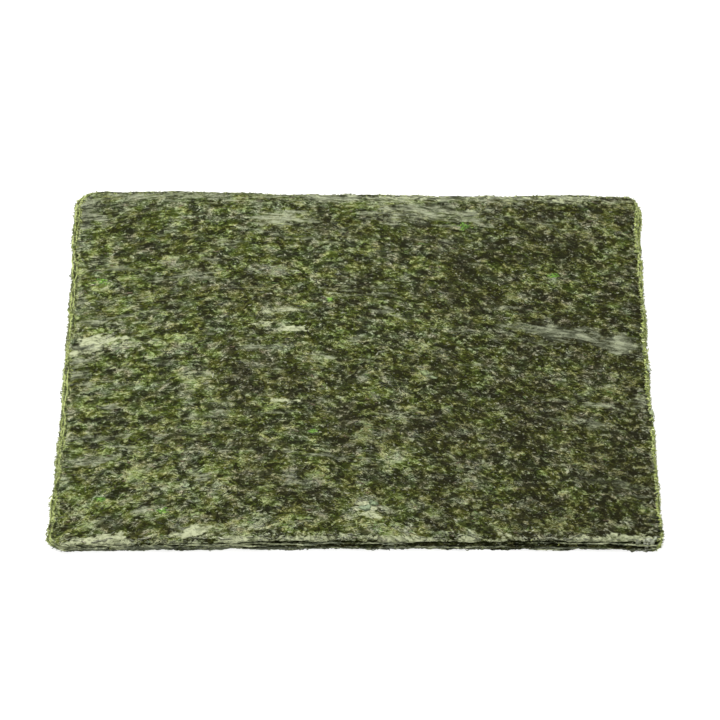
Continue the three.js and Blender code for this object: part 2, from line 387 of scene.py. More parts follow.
def pale(x, y):
    """How thick and pale the bits lie: the placed ovals, and streaky hills of three sizes. The felt grows
    more uneven to the right and to the near side, and a little less pale to the right and far sides."""
    carried = y - drift(x, y)
    chance = (
        0.27 * hills(x, y, 34, SEED + 21)
        + 0.48 * hills(x, 1.4 * carried, 9, SEED + 22)
        + 0.6 * hills(x, 1.3 * carried, 4.2, SEED + 23)
    )
    chance *= 1 + 0.25 * x / HALF_X - 0.13 * y / HALF_Y
    slope = -0.17 * x / HALF_X - 0.04 * y / HALF_Y
    placed = 2.0 * places(x, y, PALE_PLACES) - 0.8 * places(x, y, DARK_PLACES, edge=0.8)
    # Painted sheen: a paler band along the far edge, where the sheet curves away.
    placed += 0.35 * np.exp(-(((FAR_EDGE - y) / FAR_SHEEN_WIDTH) ** 2))
    for at_x, at_y, half_x, half_y, change in BROAD_PLACES:
        placed += change * np.exp(-(((x - at_x) / half_x) ** 2) - ((y - at_y) / half_y) ** 2)
    return np.clip(0.07 + 1.2 * chance + slope + placed, -0.8, 1.7)


def white(x, y):
    """Where the film is whitish: the placed ovals, partly pale film and partly painted sheen, and painted
    sheen in the margin along the near edge and at the far edge on the right, where the sheet bends down.
    With the distance t in widths, the near margin fades as exp(-t^4) and the far one as exp(-t^2)."""
    near = np.exp(-(((y - NEAR_EDGE) / NEAR_MARGIN) ** 4))
    near *= np.clip(0.56 + 0.1 * x / HALF_X + 0.6 * hills(x, y, 12, SEED + 17), 0, 0.85)
    far = np.clip(0.5 + x / 90 + 0.5 * hills(x, y, 15, SEED + 18), 0, 0.85)
    far *= 0.7 * np.exp(-(((y - FAR_EDGE) / FAR_MARGIN) ** 2))
    return np.maximum(np.maximum(places(x, y, WHITE_PLACES, edge=0.25), near), far)


def smooth(x, y):
    """How far the felt has dried to a smooth film, which is less rough and whose grey colour is painted
    sheen: the placed ovals, the painted sheen along the far edge, and random flat streaks, more of them
    where the bits lie combed."""
    carried = y - drift(x, y)
    streaks = hills(x, 3.2 * carried, 22, SEED + 31) + 0.5 * hills(x, 3 * carried, 7, SEED + 32)
    streaks += 0.35 * streaky(x, y)
    placed = places(x, y, SMOOTH_PLACES, edge=0.4)
    far = FAR_SHEEN * np.exp(-(((FAR_EDGE - y) / FAR_SHEEN_WIDTH) ** 2))
    far *= 1 + 0.8 * hills(x, y, 14, SEED + 34)
    return np.clip(np.maximum(np.maximum(placed, far), 1.6 * (streaks - 0.6)), 0, 1)


def streaky(x, y):
    """Where the bits lie combed in long streaks: mostly on the left, and near the far side."""
    slope = 0.45 - 0.5 * x / HALF_X + 0.15 * y / HALF_Y
    return np.clip(slope + 0.6 * hills(x, 2 * y, 24, SEED + 33), 0, 1)


def brown(x, y):
    """How brown the sheet is: more towards the right and the near side, with hills 26 mm wide."""
    slope = 0.42 + 0.4 * x / HALF_X - 0.12 * y / HALF_Y
    return np.clip(slope + 0.7 * hills(x, y, 26, SEED + 35), 0, 1)


def cast(x, y):
    """Whether a patch leans to yellow green, 0, or to grey, 1."""
    return np.clip(0.5 + 0.9 * hills(x, 1.2 * y, 9, SEED + 36) + 0.5 * hills(x, y, 4, SEED + 37), 0, 1)


def stored_values(x, y):
    """What the felt's finish reads on the top sheet, by the names under which the mesh keeps it."""
    return {
        "pale": pale(x, y),
        "smooth": smooth(x, y),
        "white": white(x, y),
        "brown": brown(x, y),
        "cast": cast(x, y),
        "streaky": streaky(x, y),
        "drift": drift(x, y),
    }


# %% [markdown]
# ## The surface of the top sheet
#
# The CAD sheet gives the slow waves. On them lie low clumps, and on the clumps the felt itself: curly
# ridges a millimetre or two apart, which nearly vanish where the sheet has dried smooth.

# %% Height of the top face
CLUMP_HEIGHT, FELT_HEIGHT, FINE_HEIGHT = 0.18, 0.28, 0.12


def felt_relief(x, y, seed):
    """Clumps, curly felt ridges and finer ridges, in millimetres above the sheet's middle surface."""
    flat = np.maximum(np.maximum(smooth(x, y), 0.8 * white(x, y)), 0.4 * streaky(x, y))
    clumps = hills(x, 1.4 * y, 6.5, seed) + 0.6 * hills(x, 1.3 * y, 3.1, seed + 1)
    felt = ridges(x, y, 3.0, seed + 2) ** 2
    fine = ridges(x, y, 1.7, seed + 5) ** 2
    return CLUMP_HEIGHT * clumps + (1 - 0.75 * flat) * (FELT_HEIGHT * felt + FINE_HEIGHT * fine)


def top_height(x, y):
    """The top face: the CAD sheet's middle surface, half its thickness and the felt's relief."""
    return height_at(heights[TOP], x, y) + THICKNESS / 2 + felt_relief(x, y, SEED + 41)


# %% [markdown]
# ## The rims
#
# The light that comes through the thin torn edge of a sheet is painted into its rim as a glow of bright
# yellow green at the left and right sides. At the far side the painted glow is weaker, and the near side,
# which faces away from the lamp, hardly glows.

# %% Light in the rims
RIM = {"left": 1.1, "right": 1.35, "far": 0.35, "near": 0.02}


def rim_light(outwards):
    """How brightly each side's rim glows, from the direction that it faces: the squares of the two parts
    of the direction share it out among the sides."""
    x, y = outwards[:, 0], outwards[:, 1]
    side = np.where(x < 0, RIM["left"], RIM["right"])
    end = np.where(y < 0, RIM["near"], RIM["far"])
    return side * x**2 + end * y**2


def rim_change(x, y):
    """How much more or less than usual the rims glow: light and dull lengths of a few millimetres."""
    return np.exp(0.55 * hills(x, y, 7, SEED + 38) + 0.35 * hills(x, y, 3.5, SEED + 39))


# %% [markdown]
# ## From arrays to a mesh
#
# Every piece is an array of points and an array of faces. One function hands them to Blender. It also
# stores what the materials need to know at each point, such as its colour, and a flat map of the piece.

# %% Build a mesh piece
def make_piece(name, points, faces, finish, values, flat_map):
    """A piece from points in millimetres and triangles, which are rows of three corner numbers, with its
    finish, its values by name and its flat map."""
    mesh = bpy.data.meshes.new(name)
    mesh.vertices.add(len(points))
    mesh.vertices.foreach_set("co", np.ascontiguousarray(points * MM, dtype=np.float32).ravel())
    mesh.loops.add(faces.size)
    mesh.loops.foreach_set("vertex_index", faces.astype(np.int32).ravel())
    mesh.polygons.add(len(faces))
    mesh.polygons.foreach_set("loop_start", np.arange(0, faces.size, faces.shape[1], dtype=np.int32))
    mesh.polygons.foreach_set("use_smooth", np.ones(len(faces), bool))
    mesh.update(calc_edges=True)
    for key, value in values.items():
        if value.ndim == 1:
            mesh.attributes.new(key, "FLOAT", "POINT").data.foreach_set("value", value.astype(np.float32))
        else:
            colour = np.c_[value, np.ones(len(value))].astype(np.float32)
            mesh.color_attributes.new(key, "FLOAT_COLOR", "POINT").data.foreach_set("color", colour.ravel())
    layer = mesh.uv_layers.new(name="OFBake")
    layer.data.foreach_set("uv", flat_map[faces.ravel()].astype(np.float32).ravel())
    mesh.materials.append(finish)
    piece = bpy.data.objects.new(name, mesh)
    bpy.context.collection.objects.link(piece)
    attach(piece, "root")
    print(name, len(points), "points,", len(faces), "triangles")
    return piece


# %% [markdown]
# ## The finish of the felt
#
# Laver dries to a dark olive green. Light catches the curled edges of its bits, so to the eye the felt
# is a net of pale curls on a nearly black ground. The larger bits are meshes. The ground and its finest
# curls are drawn by the material, and every size in it is a real one, such as the width of a curl.
#
# The material works out one height, from a dark hollow, 0, to a lit crest, 1. It is added up from clumps,
# combed streaks, curls and crumpled flakes. Then it picks the colour, so that over the felt's own dark and
# pale greens the crests carry painted highlights and the hollows painted shade, and it drives the bump.

# %% Where the felt's pattern is read
CRINKLE, CRINKLE_PITCH = 0.8, 1.0  # millimetres; the noise itself strays about 0.1 from its middle
WRAP, WRAP_PITCH = 6.0, 2.2
STORED = ("pale", "smooth", "white", "brown", "cast", "rim", "streaky", "drift")


def per_mm(millimetres):
    """The Scale of a noise on Object coordinates, which are in metres, for hills of this size."""
    return 1 / (millimetres * MM)


def along_arcs(tree, place, risen):
    """The place carried down by the stored drift, so that a pattern read there follows the arcs."""
    carried = add(tree, "ShaderNodeMath", {0: risen, 1: -MM}, operation="MULTIPLY")
    carried = add(tree, "ShaderNodeCombineXYZ", {"Y": carried})
    return add(tree, "ShaderNodeVectorMath", {0: place, 1: carried}, operation="ADD")


def pushed(tree, vector, place, pitch, detail, reach):
    """A vector pushed about by noise: vector + reach * (noise - 1/2), with the reach in millimetres."""
    push = {"Vector": place, "Scale": per_mm(pitch), "Detail": detail}
    push = add(tree, "ShaderNodeTexNoise", push, "Color")
    push = add(tree, "ShaderNodeVectorMath", {0: push, 1: (0.5, 0.5, 0.5)}, operation="SUBTRACT")
    push = add(tree, "ShaderNodeVectorMath", {0: push, "Scale": reach * MM}, operation="SCALE")
    return add(tree, "ShaderNodeVectorMath", {0: vector, 1: push}, operation="ADD")


# %% Clumps and streaks
CLUMP, MOSS_MIDDLE = 2.5, 0.53  # a clump's size in millimetres, and the middle value of its noise
STREAK, STREAK_LENGTH = 1.1, 6  # a streak's width in millimetres, and its length in widths


def mossy_clumps(tree, stretched, stored):
    """Clumps as on moss: a winding noise with rough detail, held back where the bits lie combed. Returns
    the noise and the clumps, which rise from 0 to 1 over the middle of the noise, or below it where the
    felt is pale."""
    moss = {"Vector": stretched, "Scale": per_mm(CLUMP), "Detail": 4.0, "Roughness": 0.5}
    moss = add(tree, "ShaderNodeTexNoise", {**moss, "Distortion": 1.4})
    calm = add(tree, "ShaderNodeMath", {0: stored["streaky"], 1: 0.5}, operation="MULTIPLY")
    moss = add(tree, "ShaderNodeMix", {0: calm, 2: moss, 3: MOSS_MIDDLE}, output=0, data_type="FLOAT")
    lifted = add(tree, "ShaderNodeMath", {0: stored["pale"], 1: 0.165, 2: moss}, operation="MULTIPLY_ADD")
    clumps = {"Value": lifted, "From Min": 0.43, "From Max": 0.68}
    return moss, add(tree, "ShaderNodeMapRange", clumps)


def combed_streaks(tree, laid):
    """Streaks from 0 to 1: a noise stretched along the way the bits were combed."""
    combed = add(tree, "ShaderNodeMapping", {"Vector": laid, "Scale": (1 / STREAK_LENGTH, 1, 1)})
    streaks = {"Vector": combed, "Scale": per_mm(STREAK), "Detail": 4.0, "Distortion": 0.4}
    streaks = add(tree, "ShaderNodeTexNoise", streaks)
    return add(tree, "ShaderNodeMapRange", {"Value": streaks, "From Min": 0.33, "From Max": 0.68})


# %% Curls and flakes
LARGE_CURL, SMALL_CURL = 2.8, 1.6  # the pitch of the noises whose middle lines are the curls
SHADOW_SHIFT = 0.6  # millimetres from a curl to the painted shadow at its near side
FLAKE = 2.8


def curly_lines(tree, stretched, place):
    """Large curls, small curls and the painted shadows under the large ones, each a line from 0 to 1.

    A winding noise crosses its middle value, 1/2, along curly lines. Folded there, it peaks at 1/2 on
    the lines, and only the peak is kept. A painted shadow is its curl moved a little towards the near
    side, where a curl lit from behind would throw its shadow."""
    crinkled = pushed(tree, stretched, place, CRINKLE_PITCH, 2.0, CRINKLE)
    shifted = {0: crinkled, 1: (0, SHADOW_SHIFT * MM, 0)}
    shifted = add(tree, "ShaderNodeVectorMath", shifted, operation="ADD")
    lines = []
    for vector, pitch, low in (
        (crinkled, LARGE_CURL, 0.445),
        (crinkled, SMALL_CURL, 0.44),
        (shifted, LARGE_CURL, 0.42),
    ):
        winding = {"Vector": vector, "Scale": per_mm(pitch), "Detail": 1.2, "Distortion": 2.0}
        winding = add(tree, "ShaderNodeTexNoise", winding)
        folded = add(tree, "ShaderNodeMath", {0: winding, 1: 0.5}, operation="PINGPONG")
        line = {"Value": folded, "From Min": low, "From Max": 0.5}
        lines.append(add(tree, "ShaderNodeMapRange", line, interpolation_type="SMOOTHSTEP"))
    return lines


def crumpled_flakes(tree, stretched, place):
    """Flakes of leaf: the cells around scattered points, crumpled by a strong push. Returns a chance
    value for each cell and a line along the cells' borders."""
    cells = {"Vector": pushed(tree, stretched, place, WRAP_PITCH, 3.0, WRAP), "Scale": per_mm(FLAKE)}
    chance = add(tree, "ShaderNodeTexVoronoi", cells, "Color")
    chance = add(tree, "ShaderNodeSeparateColor", {"Color": chance})
    border = add(tree, "ShaderNodeTexVoronoi", cells, "Distance", feature="DISTANCE_TO_EDGE")
    border = {"Value": border, "From Min": 0.0, "From Max": 0.11, "To Min": 1.0, "To Max": 0.0}
    return chance, add(tree, "ShaderNodeMapRange", border, interpolation_type="SMOOTHSTEP")


# %% The felt's height
def felt_crests(tree, stretched, place):
    """The higher of the curls and the flakes' borders, broken into pieces by another noise; the colour ramp
    paints them as highlights. Returns them, the painted shadows and the flakes' chance values."""
    large, small, painted_shadow = curly_lines(tree, stretched, place)
    small = add(tree, "ShaderNodeMath", {0: small, 1: 0.8}, operation="MULTIPLY")
    crest = add(tree, "ShaderNodeMath", {0: large, 1: small}, operation="MAXIMUM")
    pieces = add(tree, "ShaderNodeTexNoise", {"Vector": stretched, "Scale": per_mm(2.1), "Detail": 1.0})
    pieces = {"Value": pieces, "From Min": 0.38, "From Max": 0.64, "To Min": 0.15, "To Max": 1.5}
    pieces = add(tree, "ShaderNodeMapRange", pieces)
    crest = add(tree, "ShaderNodeMath", {0: crest, 1: pieces}, operation="MULTIPLY")
    chance, border = crumpled_flakes(tree, stretched, place)
    border = add(tree, "ShaderNodeMath", {0: border, 1: pieces}, operation="MULTIPLY")
    return add(tree, "ShaderNodeMath", {0: crest, 1: border}, operation="MAXIMUM"), painted_shadow, chance


def felt_height(tree, stored, clump, streaks, crest, painted_shadow, chance):
    """share * crest + 0.42 clump - 0.12 painted_shadow + hollow + streaky * combing. The crests' share
    grows on the clumps and shrinks where the felt is pale or combed. The painted shadow darkens the near
    side of each large curl. The hollow is each flake's chance, and the combing is the streaks."""
    share = add(tree, "ShaderNodeMath", {0: clump, 1: 0.37, 2: 0.33}, operation="MULTIPLY_ADD")
    for name, change in (("pale", -0.11), ("streaky", -0.06)):
        share = add(tree, "ShaderNodeMath", {0: stored[name], 1: change, 2: share}, operation="MULTIPLY_ADD")
    height = add(tree, "ShaderNodeMath", {0: crest, 1: share}, operation="MULTIPLY")
    height = add(tree, "ShaderNodeMath", {0: clump, 1: 0.42, 2: height}, operation="MULTIPLY_ADD")
    height = add(tree, "ShaderNodeMath", {0: painted_shadow, 1: -0.12, 2: height}, operation="MULTIPLY_ADD")
    hollow = {"Value": chance, "From Min": 0.1, "From Max": 0.55, "To Min": -0.16, "To Max": 0.1}
    hollow = add(tree, "ShaderNodeMapRange", hollow)
    height = add(tree, "ShaderNodeMath", {0: hollow, 1: height}, operation="ADD")
    combing = add(tree, "ShaderNodeMapRange", {"Value": streaks, "To Min": -0.15, "To Max": 0.15})
    height = {0: combing, 1: stored["streaky"], 2: height}
    return add(tree, "ShaderNodeMath", height, operation="MULTIPLY_ADD")


# %% [markdown]
# ## The felt's colours
#
# Yellow green and grey green bits have grown together in patches of a few millimetres. So there are two
# rows of colours, each from dark through middle to light, and a noise that goes from one to the other.
# A second channel of the same noise turns the patches to brown or to green. Then come the covers, which
# lie over the felt: the mould brown of an old sheet, painted glints on the tips, the grey film, whose
# colour is painted sheen, the white film, partly pale film and partly painted sheen, and the rim's
# painted glow. A Mix node lays one colour over another: its input 0 is how much of the upper colour, 7,
# covers the lower one, 6, and its output 2 is the result.

# %% Colours of the felt
PATCH = 3.4  # millimetres
DARK_STOP, MIDDLE_STOP, LIGHT_STOP = 0.03, 0.36, 0.95  # the heights at which a row's colours stand
BROWN_TURN, GREEN_TURN = (1.11, 0.96, 0.97), (0.91, 1.01, 0.92)  # factors for red, green and blue
MOULD_BROWN = "#1b180c"  # the darkest parts of an old brownish sheet
GLINT, GLINT_WHITE = 0.8, "#dfe2c8"  # the size of a painted glint on a tip, in millimetres, and its colour
# The grey film's colours are painted sheen, the white film's partly so, and the rim's its painted glow.
FILM_DARK, WHITE_DARK, WHITE_LIGHT, RIM_DARK = "#3e4230", "#6e7452", "#b6bb96", "#6f7c38"


def patchy_greens(tree, stored, stretched, height, yellow, grey):
    """The two rows of colours, mixed by patches that lean to the stored cast, times the patches' turn."""
    patches = {"Vector": stretched, "Scale": per_mm(PATCH), "Detail": 2.5, "Roughness": 0.55}
    patches = add(tree, "ShaderNodeTexNoise", patches, "Color")
    patch = add(tree, "ShaderNodeSeparateColor", {"Color": patches})
    leaning = add(tree, "ShaderNodeMath", {0: stored["cast"], 1: 0.45, 2: patch}, operation="MULTIPLY_ADD")
    leaning = add(tree, "ShaderNodeMapRange", {"Value": leaning, "From Min": 0.56, "From Max": 0.96})
    ramps = []
    for dark, middle, light in (yellow, grey):
        # Painted light: each ramp runs from painted shade in the hollows to painted highlights on the
        # crests.
        ramp = add(tree, "ShaderNodeValToRGB", {"Fac": height})
        stops = ramp.node.color_ramp.elements
        stops[0].position, stops[0].color = DARK_STOP, (*linear(dark), 1)
        stops[1].position, stops[1].color = LIGHT_STOP, (*linear(light), 1)
        stops.new(MIDDLE_STOP).color = (*linear(middle), 1)
        ramps.append(ramp)
    mixed = {0: leaning, 6: ramps[0], 7: ramps[1]}
    mixed = add(tree, "ShaderNodeMix", mixed, output=2, data_type="RGBA")
    turning = {0: stored["brown"], 1: -0.12, 2: patch.node.outputs[1]}
    turning = add(tree, "ShaderNodeMath", turning, operation="MULTIPLY_ADD")
    turning = add(tree, "ShaderNodeMapRange", {"Value": turning, "From Min": 0.31, "From Max": 0.61})
    turned = {0: turning, 6: (*BROWN_TURN, 1), 7: (*GREEN_TURN, 1)}
    turned = add(tree, "ShaderNodeMix", turned, output=2, data_type="RGBA")
    patchy = {0: 1.0, 6: mixed, 7: turned}
    return add(tree, "ShaderNodeMix", patchy, output=2, data_type="RGBA", blend_type="MULTIPLY")


def cover_colours(tree, stored, moss, streaks, height, film, rim):
    """The colours of the grey film, the white film and the rim, each from a dark to a light one: painted
    sheen on the grey film, partly painted sheen on the white film, and the rim's painted glow. The film
    grows lighter with its streaks, the height and the stored paleness, and the other two with wrinkles
    that are made of the clumps' noise and the streaks."""
    level = add(tree, "ShaderNodeMath", {0: height, 1: 0.7, 2: streaks}, operation="MULTIPLY_ADD")
    level = add(tree, "ShaderNodeMath", {0: stored["pale"], 1: 0.5, 2: level}, operation="MULTIPLY_ADD")
    level = add(tree, "ShaderNodeMapRange", {"Value": level, "From Min": 0.2, "From Max": 1.6})
    wrinkles = add(tree, "ShaderNodeMapRange", {"Value": moss, "From Min": 0.38, "From Max": 0.6})
    wrinkles = add(tree, "ShaderNodeMath", {0: streaks, 1: 0.4, 2: wrinkles}, operation="MULTIPLY_ADD")
    colours = []
    for share, dark, light in (
        (level, FILM_DARK, film),
        (wrinkles, WHITE_DARK, WHITE_LIGHT),
        (wrinkles, RIM_DARK, rim),
    ):
        pair = {0: share, 6: (*linear(dark), 1), 7: (*linear(light), 1)}
        colours.append(add(tree, "ShaderNodeMix", pair, output=2, data_type="RGBA"))
    return colours


def cover_shares(tree, stored, streaks, height):
    """How far the grey film, the white film and the rim cover the felt: the stored value plus half the
    height, so that the crests are covered first. The grey film also follows the streaks."""
    film = {0: streaks, 1: 0.6, 2: stored["smooth"]}
    film = add(tree, "ShaderNodeMath", film, operation="MULTIPLY_ADD")
    shares = []
    for spread, low, high in ((film, 0.72, 1.5), (stored["white"], 0.53, 0.9), (stored["rim"], 0.55, 1.0)):
        cover = add(tree, "ShaderNodeMath", {0: height, 1: 0.5, 2: spread}, operation="MULTIPLY_ADD")
        shares.append(add(tree, "ShaderNodeMapRange", {"Value": cover, "From Min": low, "From Max": high}))
    return shares


# %% Finish of the felt
HOLLOW_SPECULAR = 0.03  # little of the sky reaches the hollows between the bits
FILM_ROUGHNESS = 0.4
RELIEF = 0.4  # millimetres from hollow to crest


def felt_finish(name, yellow, grey, film, rim, roughness, bump):
    """Dried laver: the felt's height picks its colours from a yellow and a grey row, dark in the hollows
    and light on the crests as painted shade and painted highlights, and the covers lie over them. Smooth
    places shine more, and there the bump is weaker."""
    finish = bpy.data.materials.new(name)
    finish.use_nodes = True
    tree = finish.node_tree
    surface = tree.nodes["Principled BSDF"]
    place = add(tree, "ShaderNodeTexCoord", output="Object")
    stored = {
        key: add(tree, "ShaderNodeAttribute", output="Fac", attribute_name=key) for key in STORED
    }
    laid = along_arcs(tree, place, stored["drift"])
    stretched = add(tree, "ShaderNodeMapping", {"Vector": laid, "Scale": (0.82, 1, 1)})
    moss, clump = mossy_clumps(tree, stretched, stored)
    streaks = combed_streaks(tree, laid)
    crest, painted_shadow, chance = felt_crests(tree, stretched, place)
    height = felt_height(tree, stored, clump, streaks, crest, painted_shadow, chance)

    # Painted glints: here and there a tip of a bit is painted near white, as if it caught the light.
    tips = add(tree, "ShaderNodeTexNoise", {"Vector": stretched, "Scale": per_mm(GLINT), "Detail": 0.0})
    tips = {"Value": tips, "From Min": 0.66, "From Max": 0.79, "To Max": 0.4}
    tips = add(tree, "ShaderNodeMapRange", tips)
    tips = add(tree, "ShaderNodeMath", {0: tips, 1: crest}, operation="MULTIPLY")
    browning = add(tree, "ShaderNodeMath", {0: stored["brown"], 1: 0.5}, operation="MULTIPLY")
    # The covers: brown, painted glints, the grey film's painted sheen, the partly painted white film and the
    # rim's painted glow.
    shares = [browning, tips, *cover_shares(tree, stored, streaks, height)]
    covers = [(*linear(MOULD_BROWN), 1), (*linear(GLINT_WHITE), 1)]
    covers += cover_colours(tree, stored, moss, streaks, height, film, rim)
    colour = patchy_greens(tree, stored, stretched, height, yellow, grey)
    for share, cover in zip(shares, covers):
        layers = {0: share, 6: colour, 7: cover}
        colour = add(tree, "ShaderNodeMix", layers, output=2, data_type="RGBA")
    tree.links.new(colour, surface.inputs["Base Color"])

    rough = {"Value": stored["smooth"], "To Min": roughness, "To Max": FILM_ROUGHNESS}
    tree.links.new(add(tree, "ShaderNodeMapRange", rough), surface.inputs["Roughness"])
    surface.inputs["Specular IOR Level"].default_value = HOLLOW_SPECULAR
    flat = add(tree, "ShaderNodeMath", {0: stored["smooth"], 1: stored["white"]}, operation="MAXIMUM")
    depth = add(tree, "ShaderNodeMapRange", {"Value": flat, "To Min": bump, "To Max": 0.3 * bump})
    relief = {"Height": height, "Strength": depth, "Distance": RELIEF * MM}
    tree.links.new(add(tree, "ShaderNodeBump", relief), surface.inputs["Normal"])
    return finish


# %% Finish of the loose bits
BITS_SPECULAR = 0.25
BITS_MOTTLE = 0.9  # millimetres


def bits_finish(name, roughness):
    """Curled bits of laver leaf: the colour is stored on each bit, and fine noise mottles it."""
    finish = bpy.data.materials.new(name)
    finish.use_nodes = True
    tree = finish.node_tree
    surface = tree.nodes["Principled BSDF"]
    tint = add(tree, "ShaderNodeAttribute", output="Color", attribute_name="tint")
    place = add(tree, "ShaderNodeTexCoord", output="Object")
    mottle = {"Vector": place, "Scale": per_mm(BITS_MOTTLE), "Detail": 2.0}
    mottle = add(tree, "ShaderNodeTexNoise", mottle)
    factor = {"Value": mottle, "From Min": 0.35, "From Max": 0.65, "To Min": 0.5, "To Max": 1.15}
    factor = add(tree, "ShaderNodeMapRange", factor)
    tinted = add(tree, "ShaderNodeVectorMath", {0: tint, "Scale": factor}, operation="SCALE")
    tree.links.new(tinted, surface.inputs["Base Color"])
    surface.inputs["Roughness"].default_value = roughness
    surface.inputs["Specular IOR Level"].default_value = BITS_SPECULAR
    return finish


# %% The four finishes
# The top felt is the one that shows, so it has the most contrast. The edges and the lowest sheet lie in
# each other's shade, so their colours are painted duller, and the side that dried against the mat is the
# roughest. A loose bit is a dry leaf with a faint gloss.
YELLOW_GREENS = ("#1e2103", "#4b551b", "#b5c07f")
GREY_GREENS = ("#1b1d0a", "#464d2e", "#b7bc9e")
top_felt = felt_finish("dried_laver_felt_top", YELLOW_GREENS, GREY_GREENS, "#969b7f", "#b8c37e", 0.6, 0.75)
edge_felt = felt_finish(
    "dried_laver_felt_edges", ("#181c06", "#3c421c", "#848d50"), ("#14170c", "#3c412a", "#7f8768"),
    "#90967f", "#b8c37e", 0.6, 0.6,
)
under_felt = felt_finish(
    "dried_laver_felt_mat_side", ("#1e220a", "#444a22", "#767d50"), ("#1b1e12", "#414634", "#737968"),
    "#84887a", "#8f995a", 0.7, 0.8,
)
leaf_bits = bits_finish("dried_laver_leaf_bits", 0.5)
print(len(top_felt.node_tree.nodes), "nodes draw the felt")


# %% [markdown]
# ## The frayed outline
#
# The CAD outline has a point every four or seven millimetres. The real edge is torn on a much finer
# scale. The outline is walked at an even pace, and at each step it is pushed in or out by hills that run
# along the edge. The hills are read on a circle as long as the edge, so that the end meets the start.

# %% Walk along an outline
FRAY = ((7.0, 0.30), (3.4, 0.34), (1.5, 0.28), (0.8, 0.16))  # size and height of the tears, in millimetres


def rounded(outline, parts=12):
    """The closed outline with points between its points, on the curve that passes through all of them:
    p = (2 b + (c - a) t + (2 a - 5 b + 4 c - d) t^2 + (3 b - a - 3 c + d) t^3) / 2 between b and c."""
    a, b, c, d = (np.roll(outline, shift, axis=0)[:, None] for shift in (1, 0, -1, -2))
    t = np.linspace(0, 1, parts, endpoint=False)[None, :, None]
    curve = 2 * b + (c - a) * t + (2 * a - 5 * b + 4 * c - d) * t**2 + (3 * b - a - 3 * c + d) * t**3
    return (curve / 2).reshape(-1, 2)


def corner_steps(outline):
    """The four corners of an outline, counter-clockwise from near left: the points that reach furthest
    along each diagonal."""
    signs = np.array([(-1, -1), (1, -1), (1, 1), (-1, 1)]) / np.ptp(outline, axis=0)
    return [int(np.argmax(outline @ sign)) for sign in signs]


def along_edge(outline, counts):
    """Points at an even pace along each side of the outline, counts[0] of them on the near side and so on,
    with the direction that points outwards and the distance walked."""
    outline = rounded(outline)
    corners = corner_steps(outline)
    sides = []
    for side in range(4):
        start, end = corners[side], corners[(side + 1) % 4]
        steps = np.arange(start, end + 1 if end > start else end + len(outline) + 1) % len(outline)
        stretch = outline[steps]
        walked = np.r_[0, np.cumsum(np.linalg.norm(np.diff(stretch, axis=0), axis=1))]
        even = np.linspace(0, walked[-1], counts[side], endpoint=False)
        sides.append(np.stack([np.interp(even, walked, part) for part in stretch.T], axis=1))
    edge = np.concatenate(sides)
    step = np.roll(edge, -1, axis=0) - np.roll(edge, 1, axis=0)
    outwards = np.c_[step[:, 1], -step[:, 0]] / np.linalg.norm(step, axis=1)[:, None]
    walked = np.cumsum(np.linalg.norm(edge - np.roll(edge, 1, axis=0), axis=1))
    return edge, outwards, walked


def round_hills(walked, pitch, seed):
    """Hills along a closed line: the hills of the plane, read on a circle as long as the line."""
    turn = 2 * np.pi * walked / walked[-1]
    radius = walked[-1] / (2 * np.pi)
    return hills(radius * np.cos(turn), radius * np.sin(turn), pitch, seed)


def frayed(edge, outwards, walked, seed):
    """The edge pushed in and out by the sum of the round hills of all the sizes in FRAY."""
    push = sum(height * round_hills(walked, size, seed + n) for n, (size, height) in enumerate(FRAY))
    return edge + outwards * push[:, None]


# %% [markdown]
# ## A leaf from two grids
#
# A sheet is closed: a face that is seen, a face that is hidden, and the rim where they meet. The seen
# face is a net of even cells. It is stretched over the outline as a soap film is over a frame: each
# point is the mix of the points opposite it on the near and far sides and on the left and right sides.
# The hidden face is cheaper: the outline shrinks towards the middle in a few rings.

# %% The two kinds of face
RING_SHARES = np.array([1, 0.985, 0.96, 0.92, 0.86, 0.78, 0.68, 0.56, 0.42, 0.26, 0.12])
TEAR_FADE = 1.5  # millimetres


def stretched_net(edge, columns, rows):
    """A net over an outline: near-far mix, plus left-right mix, less the mix of the four corners."""
    near = edge[: columns + 1]
    right = edge[columns : columns + rows + 1]
    far = edge[columns + rows : 2 * columns + rows + 1][::-1]
    left = np.r_[edge[2 * columns + rows :], edge[:1]][::-1]
    u = np.linspace(0, 1, columns + 1)[None, :, None]
    v = np.linspace(0, 1, rows + 1)[:, None, None]
    sides = (1 - v) * near[None] + v * far[None] + (1 - u) * left[:, None] + u * right[:, None]
    corners = (1 - v) * ((1 - u) * near[0] + u * near[-1]) + v * ((1 - u) * far[0] + u * far[-1])
    return sides - corners


def net_faces(columns, rows):
    """Four corner numbers for each cell of the net, counter-clockwise from above, as two triangles."""
    at = np.arange((columns + 1) * (rows + 1)).reshape(rows + 1, columns + 1)
    a, b, c, d = at[:-1, :-1], at[:-1, 1:], at[1:, 1:], at[1:, :-1]
    lower = np.stack([a, b, c], -1).reshape(-1, 3)
    upper = np.stack([a, c, d], -1).reshape(-1, 3)
    return np.r_[lower, upper]


def net_border(columns, rows):
    """The numbers of the net's border points in the order of the outline."""
    at = np.arange((columns + 1) * (rows + 1)).reshape(rows + 1, columns + 1)
    return np.r_[at[0, :-1], at[:-1, -1], at[-1, :0:-1], at[:0:-1, 0]]


def edge_distance(net):
    """How many millimetres each point of a net is from the nearest side, by its row and column."""
    rows, columns = net.shape[:2]
    side = np.minimum(np.arange(columns), np.arange(columns)[::-1]) * 2 * HALF_X / columns
    end = np.minimum(np.arange(rows), np.arange(rows)[::-1]) * 2 * HALF_Y / rows
    return np.minimum(side[None, :], end[:, None])


